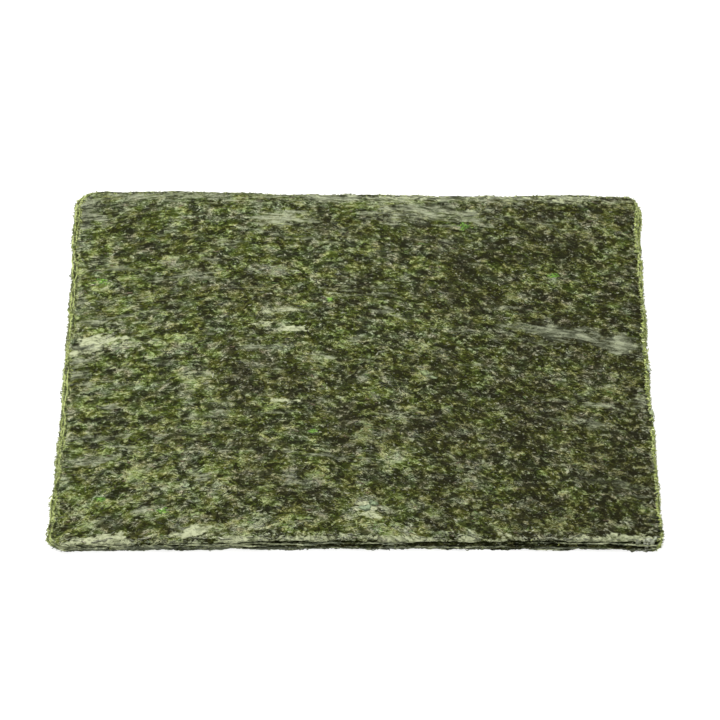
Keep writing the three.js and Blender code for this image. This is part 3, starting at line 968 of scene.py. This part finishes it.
def torn_net(edge, torn_edge, columns, rows):
    """A net whose border is the torn edge: the torn edge moves the net over the plain one only near the
    border, by a share of exp(-distance / fade). Returns x, y and the distance for each point."""
    plain, torn = (stretched_net(outline, columns, rows) for outline in (edge, torn_edge))
    distance = edge_distance(plain)
    place = plain + (torn - plain) * np.exp(-distance / TEAR_FADE)[:, :, None]
    return place[:, :, 0].ravel(), place[:, :, 1].ravel(), distance.ravel()


def ring_points(edge, shares):
    """The outline shrunk to each share of itself about its middle, and at last the middle itself."""
    middle = edge.mean(axis=0)
    rings = middle + (edge - middle)[None] * shares[:, None, None]
    return np.r_[rings.reshape(-1, 2), middle[None]]


def ring_faces(count, rings):
    """Triangles between neighbouring rings and round the middle, counter-clockwise from above."""
    here = np.arange(count)
    after = (here + 1) % count
    outer = (np.arange(rings - 1) * count)[:, None]
    inner = outer + count
    a, b, c, d = outer + here, outer + after, inner + after, inner + here
    last = (rings - 1) * count
    fan = np.stack([last + here, last + after, np.full(count, rings * count)], -1)
    return np.r_[np.stack([a, b, c], -1).reshape(-1, 3), np.stack([a, c, d], -1).reshape(-1, 3), fan]


def close_leaf(seen, seen_faces, seen_border, hidden, hidden_faces, count):
    """Joins a face seen from above to one seen from below, whose first ring lies under the border, and
    closes the rim between them. Returns the points and the faces."""
    shift = len(seen)
    here = np.arange(count)
    after = (here + 1) % count
    a, b = seen_border[here], seen_border[after]
    c, d = shift + after, shift + here
    rim = np.r_[np.stack([a, d, c], -1), np.stack([a, c, b], -1)]
    return np.r_[seen, hidden], np.r_[seen_faces, shift + hidden_faces[:, ::-1], rim]


def flat_map_of(points, seen_count):
    """A flat map of a sheet: the seen face fills most of it, and the hidden face a strip below."""
    low, high = points.min(axis=0)[:2], points.max(axis=0)[:2]
    placed = (points[:, :2] - low) / (high - low)
    placed[:seen_count, 1] = 0.12 + 0.88 * placed[:seen_count, 1]
    placed[seen_count:, 1] *= 0.1
    return placed


# %% [markdown]
# ## The top sheet
#
# It carries the look of the whole pile, so its net is fine: a cell is three quarters of a millimetre
# wide, about the width of one curl of the felt. Near the edge the sheet rolls down a little, because
# the knife pressed on it and the packet bent it.

# %% Make the top sheet
TOP_COLUMNS, TOP_ROWS = 284, 258
EDGE_ROLL, NEAR_ROLL, ROLL_WIDTH = 0.35, 0.25, 1.6  # the near side rolls down a little further
FLAT_ROLL = 0.4  # the share of the roll that is left at the far side and at the left
BELOW_EDGE = 0.05  # how much lower than its own middle surface the hidden face lies inside
PALE_HEM = 0.5  # painted light: the left margin is paler by this much, against the shade of its rolled edge
top_counts = (TOP_COLUMNS, TOP_ROWS, TOP_COLUMNS, TOP_ROWS)
top_edge, top_out, top_walk = along_edge(outlines[TOP], top_counts)
top_frayed = frayed(top_edge, top_out, top_walk, SEED + 51)


def rim_of_top(place, reach):
    """The light in the top sheet's rim: that of the nearest side, times exp(-(reach / width)^2), with a
    width that changes along the edge. The side is found from the place in half sheets, to the power 12,
    which leaves only its larger part."""
    facing = place - place.mean(axis=0)
    facing = np.sign(facing) * np.abs(facing / (104, 95)) ** 12
    facing /= np.linalg.norm(facing, axis=1)[:, None] + 1e-9
    width = np.maximum(0.5 + 0.6 * hills(*place.T, 3.5, SEED + 71), 0.3)
    bright = np.where(place[:, 0] < 0, 0.35, 1)
    return bright * rim_light(facing) * np.exp(-((reach / width) ** 2))


def make_top_sheet():
    """The torn net at the top face's height, less the roll of the edge, over a face of rings."""
    x, y, distance = torn_net(top_edge, top_frayed, TOP_COLUMNS, TOP_ROWS)
    near = np.clip(-y - 80, 0, 1)
    share = np.where((x < -90) | (y > 85), FLAT_ROLL, 1)
    roll = share * (EDGE_ROLL + near * NEAR_ROLL) * np.exp(-((distance / ROLL_WIDTH) ** 2))
    seen = np.c_[x, y, top_height(x, y) - roll]
    border = net_border(TOP_COLUMNS, TOP_ROWS)
    count = len(border)
    below = ring_points(seen[border][:, :2], RING_SHARES)
    lift = height_at(heights[TOP], below[:, 0], below[:, 1]) - THICKNESS / 2
    lift[:count] = seen[border][:, 2] - THICKNESS
    lift[count:] -= BELOW_EDGE
    points, faces = close_leaf(
        seen, net_faces(TOP_COLUMNS, TOP_ROWS), border,
        np.c_[below, lift], ring_faces(count, len(RING_SHARES)), count,
    )
    reach = np.full(len(points), 9.0)
    reach[: len(seen)] = distance
    values = stored_values(points[:, 0], points[:, 1])
    values["rim"] = rim_of_top(points[:, :2], reach)
    # Painted light: the left margin is painted paler, against the shade where its edge rolls down.
    values["pale"] = values["pale"] + PALE_HEM * np.exp(-((reach / 1.3) ** 2)) * (points[:, 0] < -90)
    flat_map = flat_map_of(points, len(seen))
    piece = make_piece("laver_sheet_top", points, faces, top_felt, values, flat_map)
    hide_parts(TOP)


make_top_sheet()

# %% [markdown]
# ## The sheets below
#
# Only a strip of two or three millimetres of each lower sheet can be seen, at its edge. Both of its
# faces are rings that crowd together near the outline. Each edge curls up and down a little, by less
# than the air between two sheets.
#
# From the front, a dark slit winds along between the sheets: real shade in the air between them, made
# darker by painted shade on their edges. It is as deep as several sheets in some places and closed at
# both ends, so it is given as a row of places, each with a level and a height.

# %% Make the lower sheets
EDGE_STEPS = (210, 190, 210, 190)
EDGE_SHARES = np.array([1, 0.996, 0.99, 0.98, 0.965, 0.94, 0.9, 0.8, 0.6, 0.3])
INWARDS = (1 - EDGE_SHARES) * HALF_X  # how many millimetres each ring lies inside the outline
CURL, CURL_FADE = 0.05, 2.5
RIM_WIDTH, GLOW_WIDTH = 0.8, 0.45
LOWER_GLOW = 0.92
# The slit's painted shade: where it runs, at what level and how many sheets high.
SLIT_X = (-45, -35, -20, -2, 8, 22, 48, 62, 82, 97, 102)
SLIT_LEVEL = (5.5, 5.5, 4.5, 6.3, 5.2, 7.0, 7.0, 5.8, 6.3, 5.0, 5.0)  # in sheets, from the lowest, 0
SLIT_HEIGHT = (0.0, 1.3, 2.1, 1.8, 1.5, 1.7, 1.4, 2.2, 1.6, 1.3, 0.0)  # in sheets, up and down


def on_all_rings(edge_values):
    """One value for each point of the edge, repeated on every ring, and 0 in the middle."""
    return np.r_[np.tile(edge_values, len(EDGE_SHARES)), 0]


def ring_by_ring(ring_values, count):
    """One value for each ring, given to all its points, and 0 in the middle."""
    return np.r_[np.repeat(ring_values, count), 0]


def lower_values(level, x, y, outwards):
    """What the finish reads on one face of a lower sheet. The strip at the edge is paler than the inside,
    which is painted darker as shade between the sheets, and its rim has a painted glow. The front is a
    dry film, painted lighter at upper levels and in shade lower down, and painted dark and brown as shade
    in the slit."""
    count = len(outwards)
    strip = ring_by_ring(np.exp(-((INWARDS / RIM_WIDTH) ** 2)), count)
    front = on_all_rings(np.clip(-outwards[:, 1] - 0.3, 0, 1)) * np.clip(2 * strip, 0, 1)
    slit_level, slit_height = (np.interp(x, SLIT_X, row) for row in (SLIT_LEVEL, SLIT_HEIGHT))
    slit = np.clip((slit_height - np.abs(level - slit_level)) / 0.7 + 0.5, 0, 1) * (slit_height > 0.1)
    # Painted shade: faces darken away from the edge, where the sheets shade each other, and the fronts
    # darken towards the table.
    inside = -0.2 + 0.8 * strip + 0.7 * on_all_rings(np.abs(outwards[:, 0]))
    lightness = np.interp(level, (1, 5, 8), (0.22, 0.5, 0.75)) + 0.9 * hills(x, y, 7, SEED + 150 + level)
    glow = on_all_rings(rim_light(outwards)) * ring_by_ring(np.exp(-((INWARDS / GLOW_WIDTH) ** 2)), count)
    return {
        "pale": inside * (1 + 0.8 * hills(x, y, 5, SEED + 130 + level)) - front * slit,
        "smooth": front * 1.3 * (1 - slit),
        "white": (0.4 * strip + 0.6 * front) * np.clip(lightness - slit, 0, 1),
        "brown": 0.3 + 0.5 * front * slit,
        "cast": np.full(len(x), 0.5),
        "rim": LOWER_GLOW * glow * rim_change(x, y),
    }


def make_lower_sheet(level, node):
    """Rings over the frayed outline, at the height of the CAD sheet, with a curl that fades inwards as
    exp(-distance / fade)."""
    edge, outwards, walked = along_edge(outlines[node], EDGE_STEPS)
    edge = frayed(edge, outwards, walked, SEED + 60 + 7 * level)
    flat = ring_points(edge, EDGE_SHARES)
    count = len(edge)
    height = height_at(heights[node], flat[:, 0], flat[:, 1])
    fade = ring_by_ring(np.exp(-(1 - EDGE_SHARES) * 100 / CURL_FADE), count)
    curl = fade * (CURL * on_all_rings(round_hills(walked, 5, SEED + 90 + level)))
    upper, lower = (np.c_[flat, height + side * THICKNESS / 2 + curl] for side in (1, -1))
    faces = ring_faces(count, len(EDGE_SHARES))
    points, faces = close_leaf(upper, faces, np.arange(count), lower, faces, count)
    values = lower_values(level, flat[:, 0], flat[:, 1], outwards)
    values = {key: np.tile(value, 2) for key, value in values.items()}
    flat_map = flat_map_of(points, len(upper))
    name = f"laver_sheet_{level + 1:02d}"
    piece = make_piece(name, points, faces, edge_felt, values, flat_map)
    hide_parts(node)


for level, node in enumerate(SHEETS[1:-1], start=1):
    make_lower_sheet(level, node)

# %% [markdown]
# ## The lowest sheet, seen from below
#
# The side that dried against the mat is rougher than the other, and the mat's reeds leave faint ribs.
# This sheet's net faces down, so it is made facing up and then turned over by reversing its faces. Its
# relief is pressed flat at the height of the table.

# %% Make the lowest sheet
MAT_PITCH, MAT_DEPTH, MAT_ROUGH = 2.6, 0.05, 0.09
LOW_COLUMNS, LOW_ROWS = 190, 172


def make_lowest_sheet():
    """The underside net with ribs of the mat, sin(2 pi y / pitch), and felt, all above the table."""
    counts = (LOW_COLUMNS, LOW_ROWS, LOW_COLUMNS, LOW_ROWS)
    edge, outwards, walked = along_edge(outlines[BOTTOM], counts)
    torn = frayed(edge, outwards, walked, SEED + 60)
    x, y, _ = torn_net(edge, torn, LOW_COLUMNS, LOW_ROWS)
    ribs = 0.5 + 0.5 * np.sin(2 * np.pi * y / MAT_PITCH + 0.4 * hills(x, y, 30, SEED + 61))
    rough = ridges(x, y, 2.2, SEED + 62) ** 2
    under = np.c_[x, y, MAT_DEPTH * (1 - ribs) + MAT_ROUGH * (1 - rough)]
    border = net_border(LOW_COLUMNS, LOW_ROWS)
    count = len(border)
    flat = ring_points(under[border][:, :2], RING_SHARES)
    over = np.c_[flat, np.full(len(flat), THICKNESS + 0.06)]
    over[:count, 2] = under[border][:, 2] + 0.1
    points, faces = close_leaf(
        under, net_faces(LOW_COLUMNS, LOW_ROWS), border, over, ring_faces(count, len(RING_SHARES)), count
    )
    x, y = points[:, 0], points[:, 1]
    values = {
        "pale": 0.4 + 0.4 * hills(x, 1.5 * y, 8, SEED + 63),
        "smooth": np.clip(hills(x, 3 * y, 16, SEED + 64) - 0.4, 0, 1),
        "white": np.clip(hills(x, 2 * y, 12, SEED + 65) - 0.6, 0, 1),
        "brown": np.clip(0.4 + 0.7 * hills(x, y, 30, SEED + 66), 0, 1),
        "cast": cast(x + 300, y),
        "rim": np.zeros(len(points)),
    }
    faces, flat_map = faces[:, ::-1], flat_map_of(points, len(under))
    piece = make_piece("laver_sheet_01", points, faces, under_felt, values, flat_map)
    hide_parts(BOTTOM)


make_lowest_sheet()

# %% [markdown]
# ## Bits of leaf
#
# The bits that stick out of the felt are what catches the light. Each one is a small blade: a ridge
# between two low sides, pointed at both ends, bent like a comma and sunk a little into the sheet. One
# blade is eleven points and eighteen triangles. All the blades of a piece are worked out at once, as
# arrays with one row for each blade.

# %% Make many blades
BLADE_ALONG = np.array([-1.0, -0.55, -0.55, -0.55, 0.0, 0.0, 0.0, 0.55, 0.55, 0.55, 1.0])
BLADE_ACROSS = np.array([0, 0.8, 0, -0.8, 1, 0, -1, 0.8, 0, -0.8, 0])
BLADE_UP = np.array([0, 0, 0.85, 0, 0, 1, 0, 0, 0.85, 0, 0])
BLADE_FACES = np.array(
    [
        (0, 2, 1), (0, 3, 2), (0, 1, 3),
        (2, 5, 4), (2, 4, 1), (3, 6, 5), (3, 5, 2), (1, 4, 6), (1, 6, 3),
        (5, 8, 7), (5, 7, 4), (6, 9, 8), (6, 8, 5), (4, 7, 9), (4, 9, 6),
        (10, 7, 8), (10, 8, 9), (10, 9, 7),
    ]
)  # fmt: skip


def blades(rng, x, y, heading, length, width, rise, bend, tip_lift, sunk, ground):
    """Blades on a ground. Along a blade t runs from -1 to 1. A point is moved t * length / 2 ahead and
    bend * (t^2 - 1) * length / 2 aside, and stands at the ground's height under it, less sunk, plus its
    share of the rise, plus tip_lift * max(t, 0)^2. Chance then moves every point a little."""
    shape = (len(x), len(BLADE_ALONG))
    t = BLADE_ALONG[None]
    ahead = (t + rng.normal(0, 0.09, shape)) * length[:, None] / 2
    aside = BLADE_ACROSS * rng.uniform(0.45, 1.35, shape) * width[:, None] / 2
    aside += bend[:, None] * (t**2 - 1) * length[:, None] / 2
    cos, sin = np.cos(heading)[:, None], np.sin(heading)[:, None]
    points_x = x[:, None] + cos * ahead - sin * aside
    points_y = y[:, None] + sin * ahead + cos * aside
    floor_height = ground(points_x.ravel(), points_y.ravel()).reshape(shape)
    lift = tip_lift[:, None] * np.maximum(t, 0) ** 2
    crest = BLADE_UP * rng.uniform(0.5, 1.25, shape) * rise[:, None]
    points_z = floor_height - sunk[:, None] + crest + lift
    points = np.stack([points_x, points_y, points_z], -1).reshape(-1, 3)
    faces = (BLADE_FACES[None] + len(BLADE_ALONG) * np.arange(len(x))[:, None, None]).reshape(-1, 3)
    return points, faces


def blade_colours(rng, colours, low=0.5):
    """A colour for each point of a blade, with light and shade painted on: a painted highlight on the crest
    and painted shade at the sides and the tips, where the share of the colour that is left is low."""
    shade = low + (1.08 - low) * BLADE_UP
    shade = shade * np.exp(rng.normal(0, 0.2, (len(colours), len(BLADE_ALONG))))
    return (colours[:, None, :] * shade[:, :, None]).reshape(-1, 3)


def blade_map(count):
    """A flat map in which every blade has a small cell of its own, so that a bake keeps its colour."""
    side = int(np.ceil(np.sqrt(count)))
    cell = np.arange(count)
    u = (cell[:, None] % side + 0.5 + 0.35 * BLADE_ALONG) / side
    v = (cell[:, None] // side + 0.5 + 0.35 * BLADE_ACROSS) / side
    return np.stack([u, v], -1).reshape(-1, 2)


# %% [markdown]
# ## The greens of the bits
#
# A bit has the green of the felt around it, lighter or darker by chance, and lighter where the felt is
# pale. A few are different: some cream, some leaf green where the leaf was young and some brown where
# it was bruised.

# %% Colours of the bits
ODD_BITS = (("#b4b798", 0.03), ("#5d7a38", 0.04), ("#6b5a40", 0.04))  # colour and share


def tints(rng, x, y, paleness):
    """A colour for each blade. A chance level, higher where the felt is pale, picks it from dark through
    middle to light in the felt's own two rows, the cast of the place mixes the rows, and old places are
    browned. Then come the odd bits."""
    level = np.clip(0.3 + 0.42 * paleness + rng.normal(0, 0.19, len(x)), 0.05, 1.05)
    share = cast(x, y)
    mixed = 0
    for part, greens in ((1 - share, YELLOW_GREENS), (share, GREY_GREENS)):
        bands = np.array([linear(colour) for colour in greens]).T
        row = np.stack([np.interp(level, (0, 0.42, 1), band) for band in bands], axis=1)
        mixed = mixed + part[:, None] * row
    mixed += (linear(MOULD_BROWN) - mixed) * (0.3 * brown(x, y)[:, None])
    draw, start = rng.random(len(x)), 0.0
    for colour, part in ODD_BITS:
        odd = (draw >= start) & (draw < start + part)
        mixed[odd] = linear(colour) * (0.7 + 0.5 * paleness[odd])[:, None]
        start += part
    return mixed


# %% [markdown]
# ## Bits on the top sheet
#
# They lie mostly left to right, the way the sheet was spread on its mat. There are more of them where
# the felt is pale and fewer where it is smooth, and there they lie flat and straight. Their number is as
# large as one piece can hold with fewer than 200,000 triangles. Of 60,000 tried, at most 10,500 are
# kept, all in one piece.

# %% Scatter bits over the top sheet
BITS_TRIED, BITS_KEPT = 60_000, 10_500
TURN_SPREAD = 0.5  # radians
BITS_WHITE = "#c3c6a8"  # a bit in a whitish place, whose colour is partly painted sheen


def past_edge(x, y):
    """How far points lie outside the top sheet's outline, seen from its middle; less than 0 is inside."""
    middle = top_edge.mean(axis=0)
    angle = np.arctan2(top_edge[:, 1] - middle[1], top_edge[:, 0] - middle[0])
    reach = np.hypot(*(top_edge - middle).T)
    order = np.argsort(angle)
    own = np.interp(np.arctan2(y - middle[1], x - middle[0]), angle[order], reach[order])
    return np.hypot(x - middle[0], y - middle[1]) - own


def scatter_top():
    """Blades at random places, of which more are kept where the felt is thick and pale."""
    rng = np.random.default_rng(SEED + 200)
    x, y = rng.uniform(-106, 106, BITS_TRIED), rng.uniform(-97, 97, BITS_TRIED)
    paleness, whiteness = pale(x, y), white(x, y)
    flat = np.maximum(np.maximum(smooth(x, y), whiteness), 0.5 * streaky(x, y))
    chance = (0.2 + 0.8 * paleness) * (1 - 0.7 * flat)
    pick = np.flatnonzero((past_edge(x, y) < -0.4) & (rng.random(len(x)) < chance))[:BITS_KEPT]
    x, y, paleness, whiteness, flat = (values[pick] for values in (x, y, paleness, whiteness, flat))
    count = len(x)
    lean = np.arctan(climb(x, y)) + 0.5 * hills(x, y, 6.5, SEED + 210)
    heading = lean + rng.normal(0, TURN_SPREAD, count) * (1 - 0.7 * flat)
    length = np.clip(rng.lognormal(np.log(1.4), 0.4, count), 0.7, 3.2) * (1 + 0.4 * flat)
    width = np.clip(0.3 + 0.25 * length * rng.random(count), 0.35, 0.9)
    rise = np.clip(0.12 * length * rng.uniform(0.6, 1.3, count), 0.08, 0.32) * (1 - 0.7 * flat)
    bend = rng.normal(0, 0.4, count) * (1 - 0.8 * flat)
    tip_lift = 0.3 * rng.random(count) ** 3 * (1 - flat)
    sunk = rng.uniform(0.02, 0.08, count)
    points, faces = blades(rng, x, y, heading, length, width, rise, bend, tip_lift, sunk, top_height)
    colours = tints(rng, x, y, paleness)
    # Bits in whitish places are whitened with them, partly painted sheen.
    colours += (linear(BITS_WHITE) - colours) * (0.75 * whiteness)[:, None]
    values = {"tint": blade_colours(rng, colours)}
    make_piece("laver_bits_top_1", points, faces, leaf_bits, values, blade_map(count))


scatter_top()

# %% [markdown]
# ## Green specks
#
# A few bits were young leaf, and they dried a clear green.

# %% Place the green specks
GREEN_SPECKS = [  # x, y, half width
    (40, 73, 3.2),
    (-89, -74, 1.8),
    (-67, -80, 2.2),
    (-15, -40, 1.3),
    (72, 45, 2.2),
    (-94, 41, 2.4),
    (-104, 52, 1.6),
    (-10, 31, 1.2),
]
CLEAR_GREENS = ("#73a332", "#8fb84e", "#5c8a28")
SPECK_BITS = 22


def place_specks():
    """Small heaps of blades, scattered by a bell curve around each speck's middle."""
    rng = np.random.default_rng(SEED + 250)
    middle = np.repeat(np.array(GREEN_SPECKS), SPECK_BITS, axis=0)
    x = middle[:, 0] + rng.normal(0, 0.45, len(middle)) * middle[:, 2]
    y = middle[:, 1] + rng.normal(0, 0.32, len(middle)) * middle[:, 2]
    inside = past_edge(x, y) < -0.8
    x, y = x[inside], y[inside]
    count = len(x)
    length, width = rng.uniform(0.8, 2.2, count), rng.uniform(0.5, 1.0, count)
    rise, bend = rng.uniform(0.2, 0.4, count), rng.normal(0, 0.3, count)
    lift, sunk = 0.2 * rng.random(count), np.full(count, 0.03)
    heading = rng.normal(0.2, 0.5, count)
    points, faces = blades(rng, x, y, heading, length, width, rise, bend, lift, sunk, top_height)
    palette = np.array([linear(colour) for colour in CLEAR_GREENS])
    values = {"tint": blade_colours(rng, palette[rng.integers(0, len(palette), count)])}
    make_piece("laver_green_specks", points, faces, leaf_bits, values, blade_map(count))


place_specks()

# %% [markdown]
# ## Whole flakes
#
# A few bits were never chopped small. They lie on the sheet, stick out of its sides, or hang over its
# near right corner as thin pale leaves, two and a half to five millimetres long. Outside the outline a
# flake droops: it sinks by its droop for each millimetre that it reaches out.

# %% Place the flakes
FLAKES = [  # x, y, length, width, heading, droop, colour
    (24.5, -9.5, 4.4, 2.6, -0.5, 0, "#7f8d5c"),
    (27.5, -12, 3.0, 1.8, -0.7, 0, "#87956a"),
    (3, -78, 5.0, 3.2, 0.2, 0, "#8b9b78"),
    (6, -76.5, 4.2, 2.6, -0.4, 0, "#7e8f68"),
    (104.8, -4.6, 3.6, 2.6, 1.3, 1.3, "#a3ad8c"),
    (105.0, -28.6, 4.4, 2.4, 1.5, 1.3, "#9fab7c"),
    (104.6, -33, 3.0, 1.6, 0.6, 1.3, "#93a05c"),
    (103.6, 59, 3.4, 1.8, 0.5, 1.3, "#8f9c5e"),
    (-105.6, 64, 3.2, 1.8, 2.2, 1.3, "#7c8c4c"),
    (-104.6, -20, 3.0, 1.6, 1.9, 1.3, "#8b9a58"),
    (-105.2, 30, 2.6, 1.4, 1.2, 1.3, "#76874a"),
    (-104.6, -58, 3.0, 1.6, 1.4, 1.3, "#9aa76a"),
    (99.2, -94.9, 3.0, 2.2, 0.4, 3, "#a9ad98"),
    (101.2, -94.3, 2.8, 2.2, -0.2, 3, "#a0a58e"),
    (97.2, -95.2, 2.8, 1.9, 0.1, 3, "#9da287"),
    (95.0, -95.5, 2.4, 1.5, -0.2, 3, "#94997c"),
    (102.5, -93.2, 2.6, 1.9, 0.9, 3, "#a5ac90"),
    (100.2, -93.4, 2.6, 1.8, 0.2, 3, "#a2a78f"),
]


def place_flakes():
    """One wide blade for each flake, on the top sheet or, outside its outline, below the edge's height
    by droop times the distance, but never under the table."""
    rng = np.random.default_rng(SEED + 260)
    x, y, length, width, heading, droop = np.array([row[:6] for row in FLAKES], dtype=float).T
    count = len(x)
    rise, bend = np.full(count, 0.12), rng.normal(0, 0.15, count)
    lift, sunk = rng.uniform(0, 0.25, count), np.full(count, -0.12)

    def ground(at_x, at_y):
        hanging = np.repeat(droop, len(BLADE_ALONG)) * np.maximum(past_edge(at_x, at_y), 0)
        level = top_height(np.clip(at_x, -103, 103), np.clip(at_y, -93, 93))
        return np.maximum(level - hanging, 0)

    points, faces = blades(rng, x, y, heading, length, width, rise, bend, lift, sunk, ground)
    colours = np.array([linear(row[6]) for row in FLAKES])
    values = {"tint": blade_colours(rng, 1.1 * colours, low=0.8)}
    make_piece("laver_flakes", points, faces, leaf_bits, values, blade_map(count))


place_flakes()

# %% [markdown]
# ## Bits at the edges
#
# Short blades stick out of every edge at all angles, each at the height of its own sheet, and the rims'
# painted glow is painted on them too. On the near side, which gets hardly any painted glow, they are dull
# and lie along the edge.

# %% Scatter bits along the edges
# The bright greens carry the rims' painted glow; the cut blades' greens are dull.
RIM_GREENS = ("#8a9649", "#9ca758", "#b4bd7a", "#6a7638", "#55612c", "#c3c896")
CUT_GREENS = ("#7d8464", "#939a7a", "#5f6547", "#a3a88a", "#4c532e")


def scatter_edges(name, levels, spacing, glow, cut_share, seed):
    """Blades along the outlines of some sheets, one for every spacing millimetres of edge. By chance a
    blade is bright with the rims' painted glow, with a probability of glow times the light of its side, or
    else cut: dull and lying along the edge. Of the cut ones only a share is kept."""
    rng = np.random.default_rng(seed)
    rows = []
    for level in levels:
        node = SHEETS[level]
        edge, outwards, walked = along_edge(outlines[node], EDGE_STEPS)
        step = rng.integers(0, len(edge), int(walked[-1] / spacing))
        cut = rng.random(len(step)) > glow * rim_light(outwards[step])
        inset = np.where(cut, rng.uniform(-0.5, -0.05, len(step)), rng.uniform(-0.7, 0.3, len(step)))
        place = edge[step] + outwards[step] * inset[:, None]
        spread = np.where(cut, 0.2, 0.9) * rng.normal(0, 1, len(step))
        angle = np.arctan2(outwards[step, 1], outwards[step, 0]) + spread + np.where(cut, np.pi / 2, 0)
        height = height_at(heights[node], place[:, 0], place[:, 1]) + (0.06 if node == TOP else 0)
        rows.append(np.c_[place, angle, height, cut])
    rows = np.concatenate(rows)
    rows = rows[(rows[:, -1] == 0) | (rng.random(len(rows)) < cut_share)]
    x, y, heading, height, cut = rows.T
    count = len(x)
    length, width = rng.uniform(0.7, 2.2, count), rng.uniform(0.25, 0.6, count)
    rise, bend = rng.uniform(0.06, 0.14, count), rng.normal(0, 0.25, count)
    lift = rng.uniform(-0.05, 0.14, count) * (1 - cut) * (height > 0.2)
    steady = np.repeat(height, len(BLADE_ALONG))
    sunk = np.full(count, 0.03)
    points, faces = blades(rng, x, y, heading, length, width, rise, bend, lift, sunk, lambda *_: steady)
    points[:, 2] = np.maximum(points[:, 2], 0.0)
    bright, dull = (
        np.array([linear(colour) for colour in greens])[rng.integers(0, len(greens), count)]
        for greens in (RIM_GREENS, CUT_GREENS)
    )
    colours = np.where(cut[:, None] > 0, dull, bright) * np.exp(rng.normal(0, 0.2, count))[:, None]
    # Painted glow: blades on the right side are painted brighter, the rest duller, in lengths that vary.
    colours *= (np.where(x > 100, 1.45, 0.85) * rim_change(x, y) ** 0.5)[:, None]
    values = {"tint": blade_colours(rng, colours, low=0.7)}
    make_piece(name, points, faces, leaf_bits, values, blade_map(count))


scatter_edges("laver_fringe_lower", range(0, 5), 0.4, 1.0, 0.9, SEED + 301)
scatter_edges("laver_fringe_upper", range(5, 9), 0.55, 1.0, 0.12, SEED + 302)
scatter_edges("laver_fringe_top", (9,), 0.3, 0.9, 0.2, SEED + 303)

# %% [markdown]
# ## Floor, light and camera
#
# The floor is plain and nearly white. One large soft lamp stands behind the pile and above it, so that
# the curls show their lit tops and dark hollows, and the smooth places shine. The sky is an even white.
# The camera looks down at 41.8 degrees through a long lens, as the photograph's perspective says.

# %% Stage
CAMERA_TILT, CAMERA_TURN = np.radians(41.77), np.radians(0.2)
CAMERA_DISTANCE, LENS = 1.5145, 210.2
SHIFT = (0.0046, 0.0069)  # the pile stands a little off the middle of the picture
FLOOR_GLOW = 0.75  # the white table shines a little itself, so that the pile throws hardly a shadow
SKY_GLOW = 0.6


def make_floor():
    """A large flat square under the pile."""
    mesh = bpy.data.meshes.new("floor")
    corners = [(-5, -5, 0), (5, -5, 0), (5, 5, 0), (-5, 5, 0)]
    mesh.from_pydata(corners, [], [(0, 1, 2, 3)])
    finish = bpy.data.materials.new("matt_white_paper")
    finish.use_nodes = True
    surface = finish.node_tree.nodes["Principled BSDF"]
    surface.inputs["Base Color"].default_value = (*linear("#b8b8b7"), 1)
    surface.inputs["Roughness"].default_value = 0.9
    surface.inputs["Emission Color"].default_value = (1, 1, 1, 1)
    surface.inputs["Emission Strength"].default_value = FLOOR_GLOW
    mesh.materials.append(finish)
    floor = bpy.data.objects.new("floor", mesh)
    bpy.context.collection.objects.link(floor)


def make_lamp(name, place, size, power):
    """A square soft lamp that faces the pile: tilted by the angle between straight down and the pile, and
    turned to the pile's side."""
    lamp = bpy.data.lights.new(name, "AREA")
    lamp.size, lamp.energy = size, power
    holder = bpy.data.objects.new(name, lamp)
    holder.location = place
    x, y, z = -np.array(place)
    holder.rotation_euler = (np.arctan2(np.hypot(x, y), -z), 0, np.arctan2(y, x) - np.pi / 2)
    bpy.context.collection.objects.link(holder)


def make_camera():
    """The camera on the line of sight that rises at the tilt from the pile's origin."""
    camera = bpy.data.objects.new("camera", bpy.data.cameras.new("camera"))
    camera.data.lens, camera.data.sensor_width = LENS, 36
    camera.data.shift_x, camera.data.shift_y = SHIFT
    camera.data.clip_start, camera.data.clip_end = 0.05, 50
    level = np.cos(CAMERA_TILT)
    back = np.sin(CAMERA_TURN) * level, -np.cos(CAMERA_TURN) * level, np.sin(CAMERA_TILT)
    camera.location = CAMERA_DISTANCE * np.array(back)
    camera.rotation_euler = (np.pi / 2 - CAMERA_TILT, 0, CAMERA_TURN)
    bpy.context.collection.objects.link(camera)
    bpy.context.scene.camera = camera


make_floor()
make_lamp("lamp_behind", (-0.3, 0.7, 0.9), 1.0, 18)
make_lamp("lamp_front", (0.3, -0.9, 0.9), 1.0, 2)
make_camera()
sky = bpy.data.worlds.new("even_white_sky")
sky.use_nodes = True
sky.node_tree.nodes["Background"].inputs["Color"].default_value = (1, 1, 1, 1)
sky.node_tree.nodes["Background"].inputs["Strength"].default_value = SKY_GLOW
bpy.context.scene.world = sky
bpy.context.scene.view_settings.view_transform = "Standard"
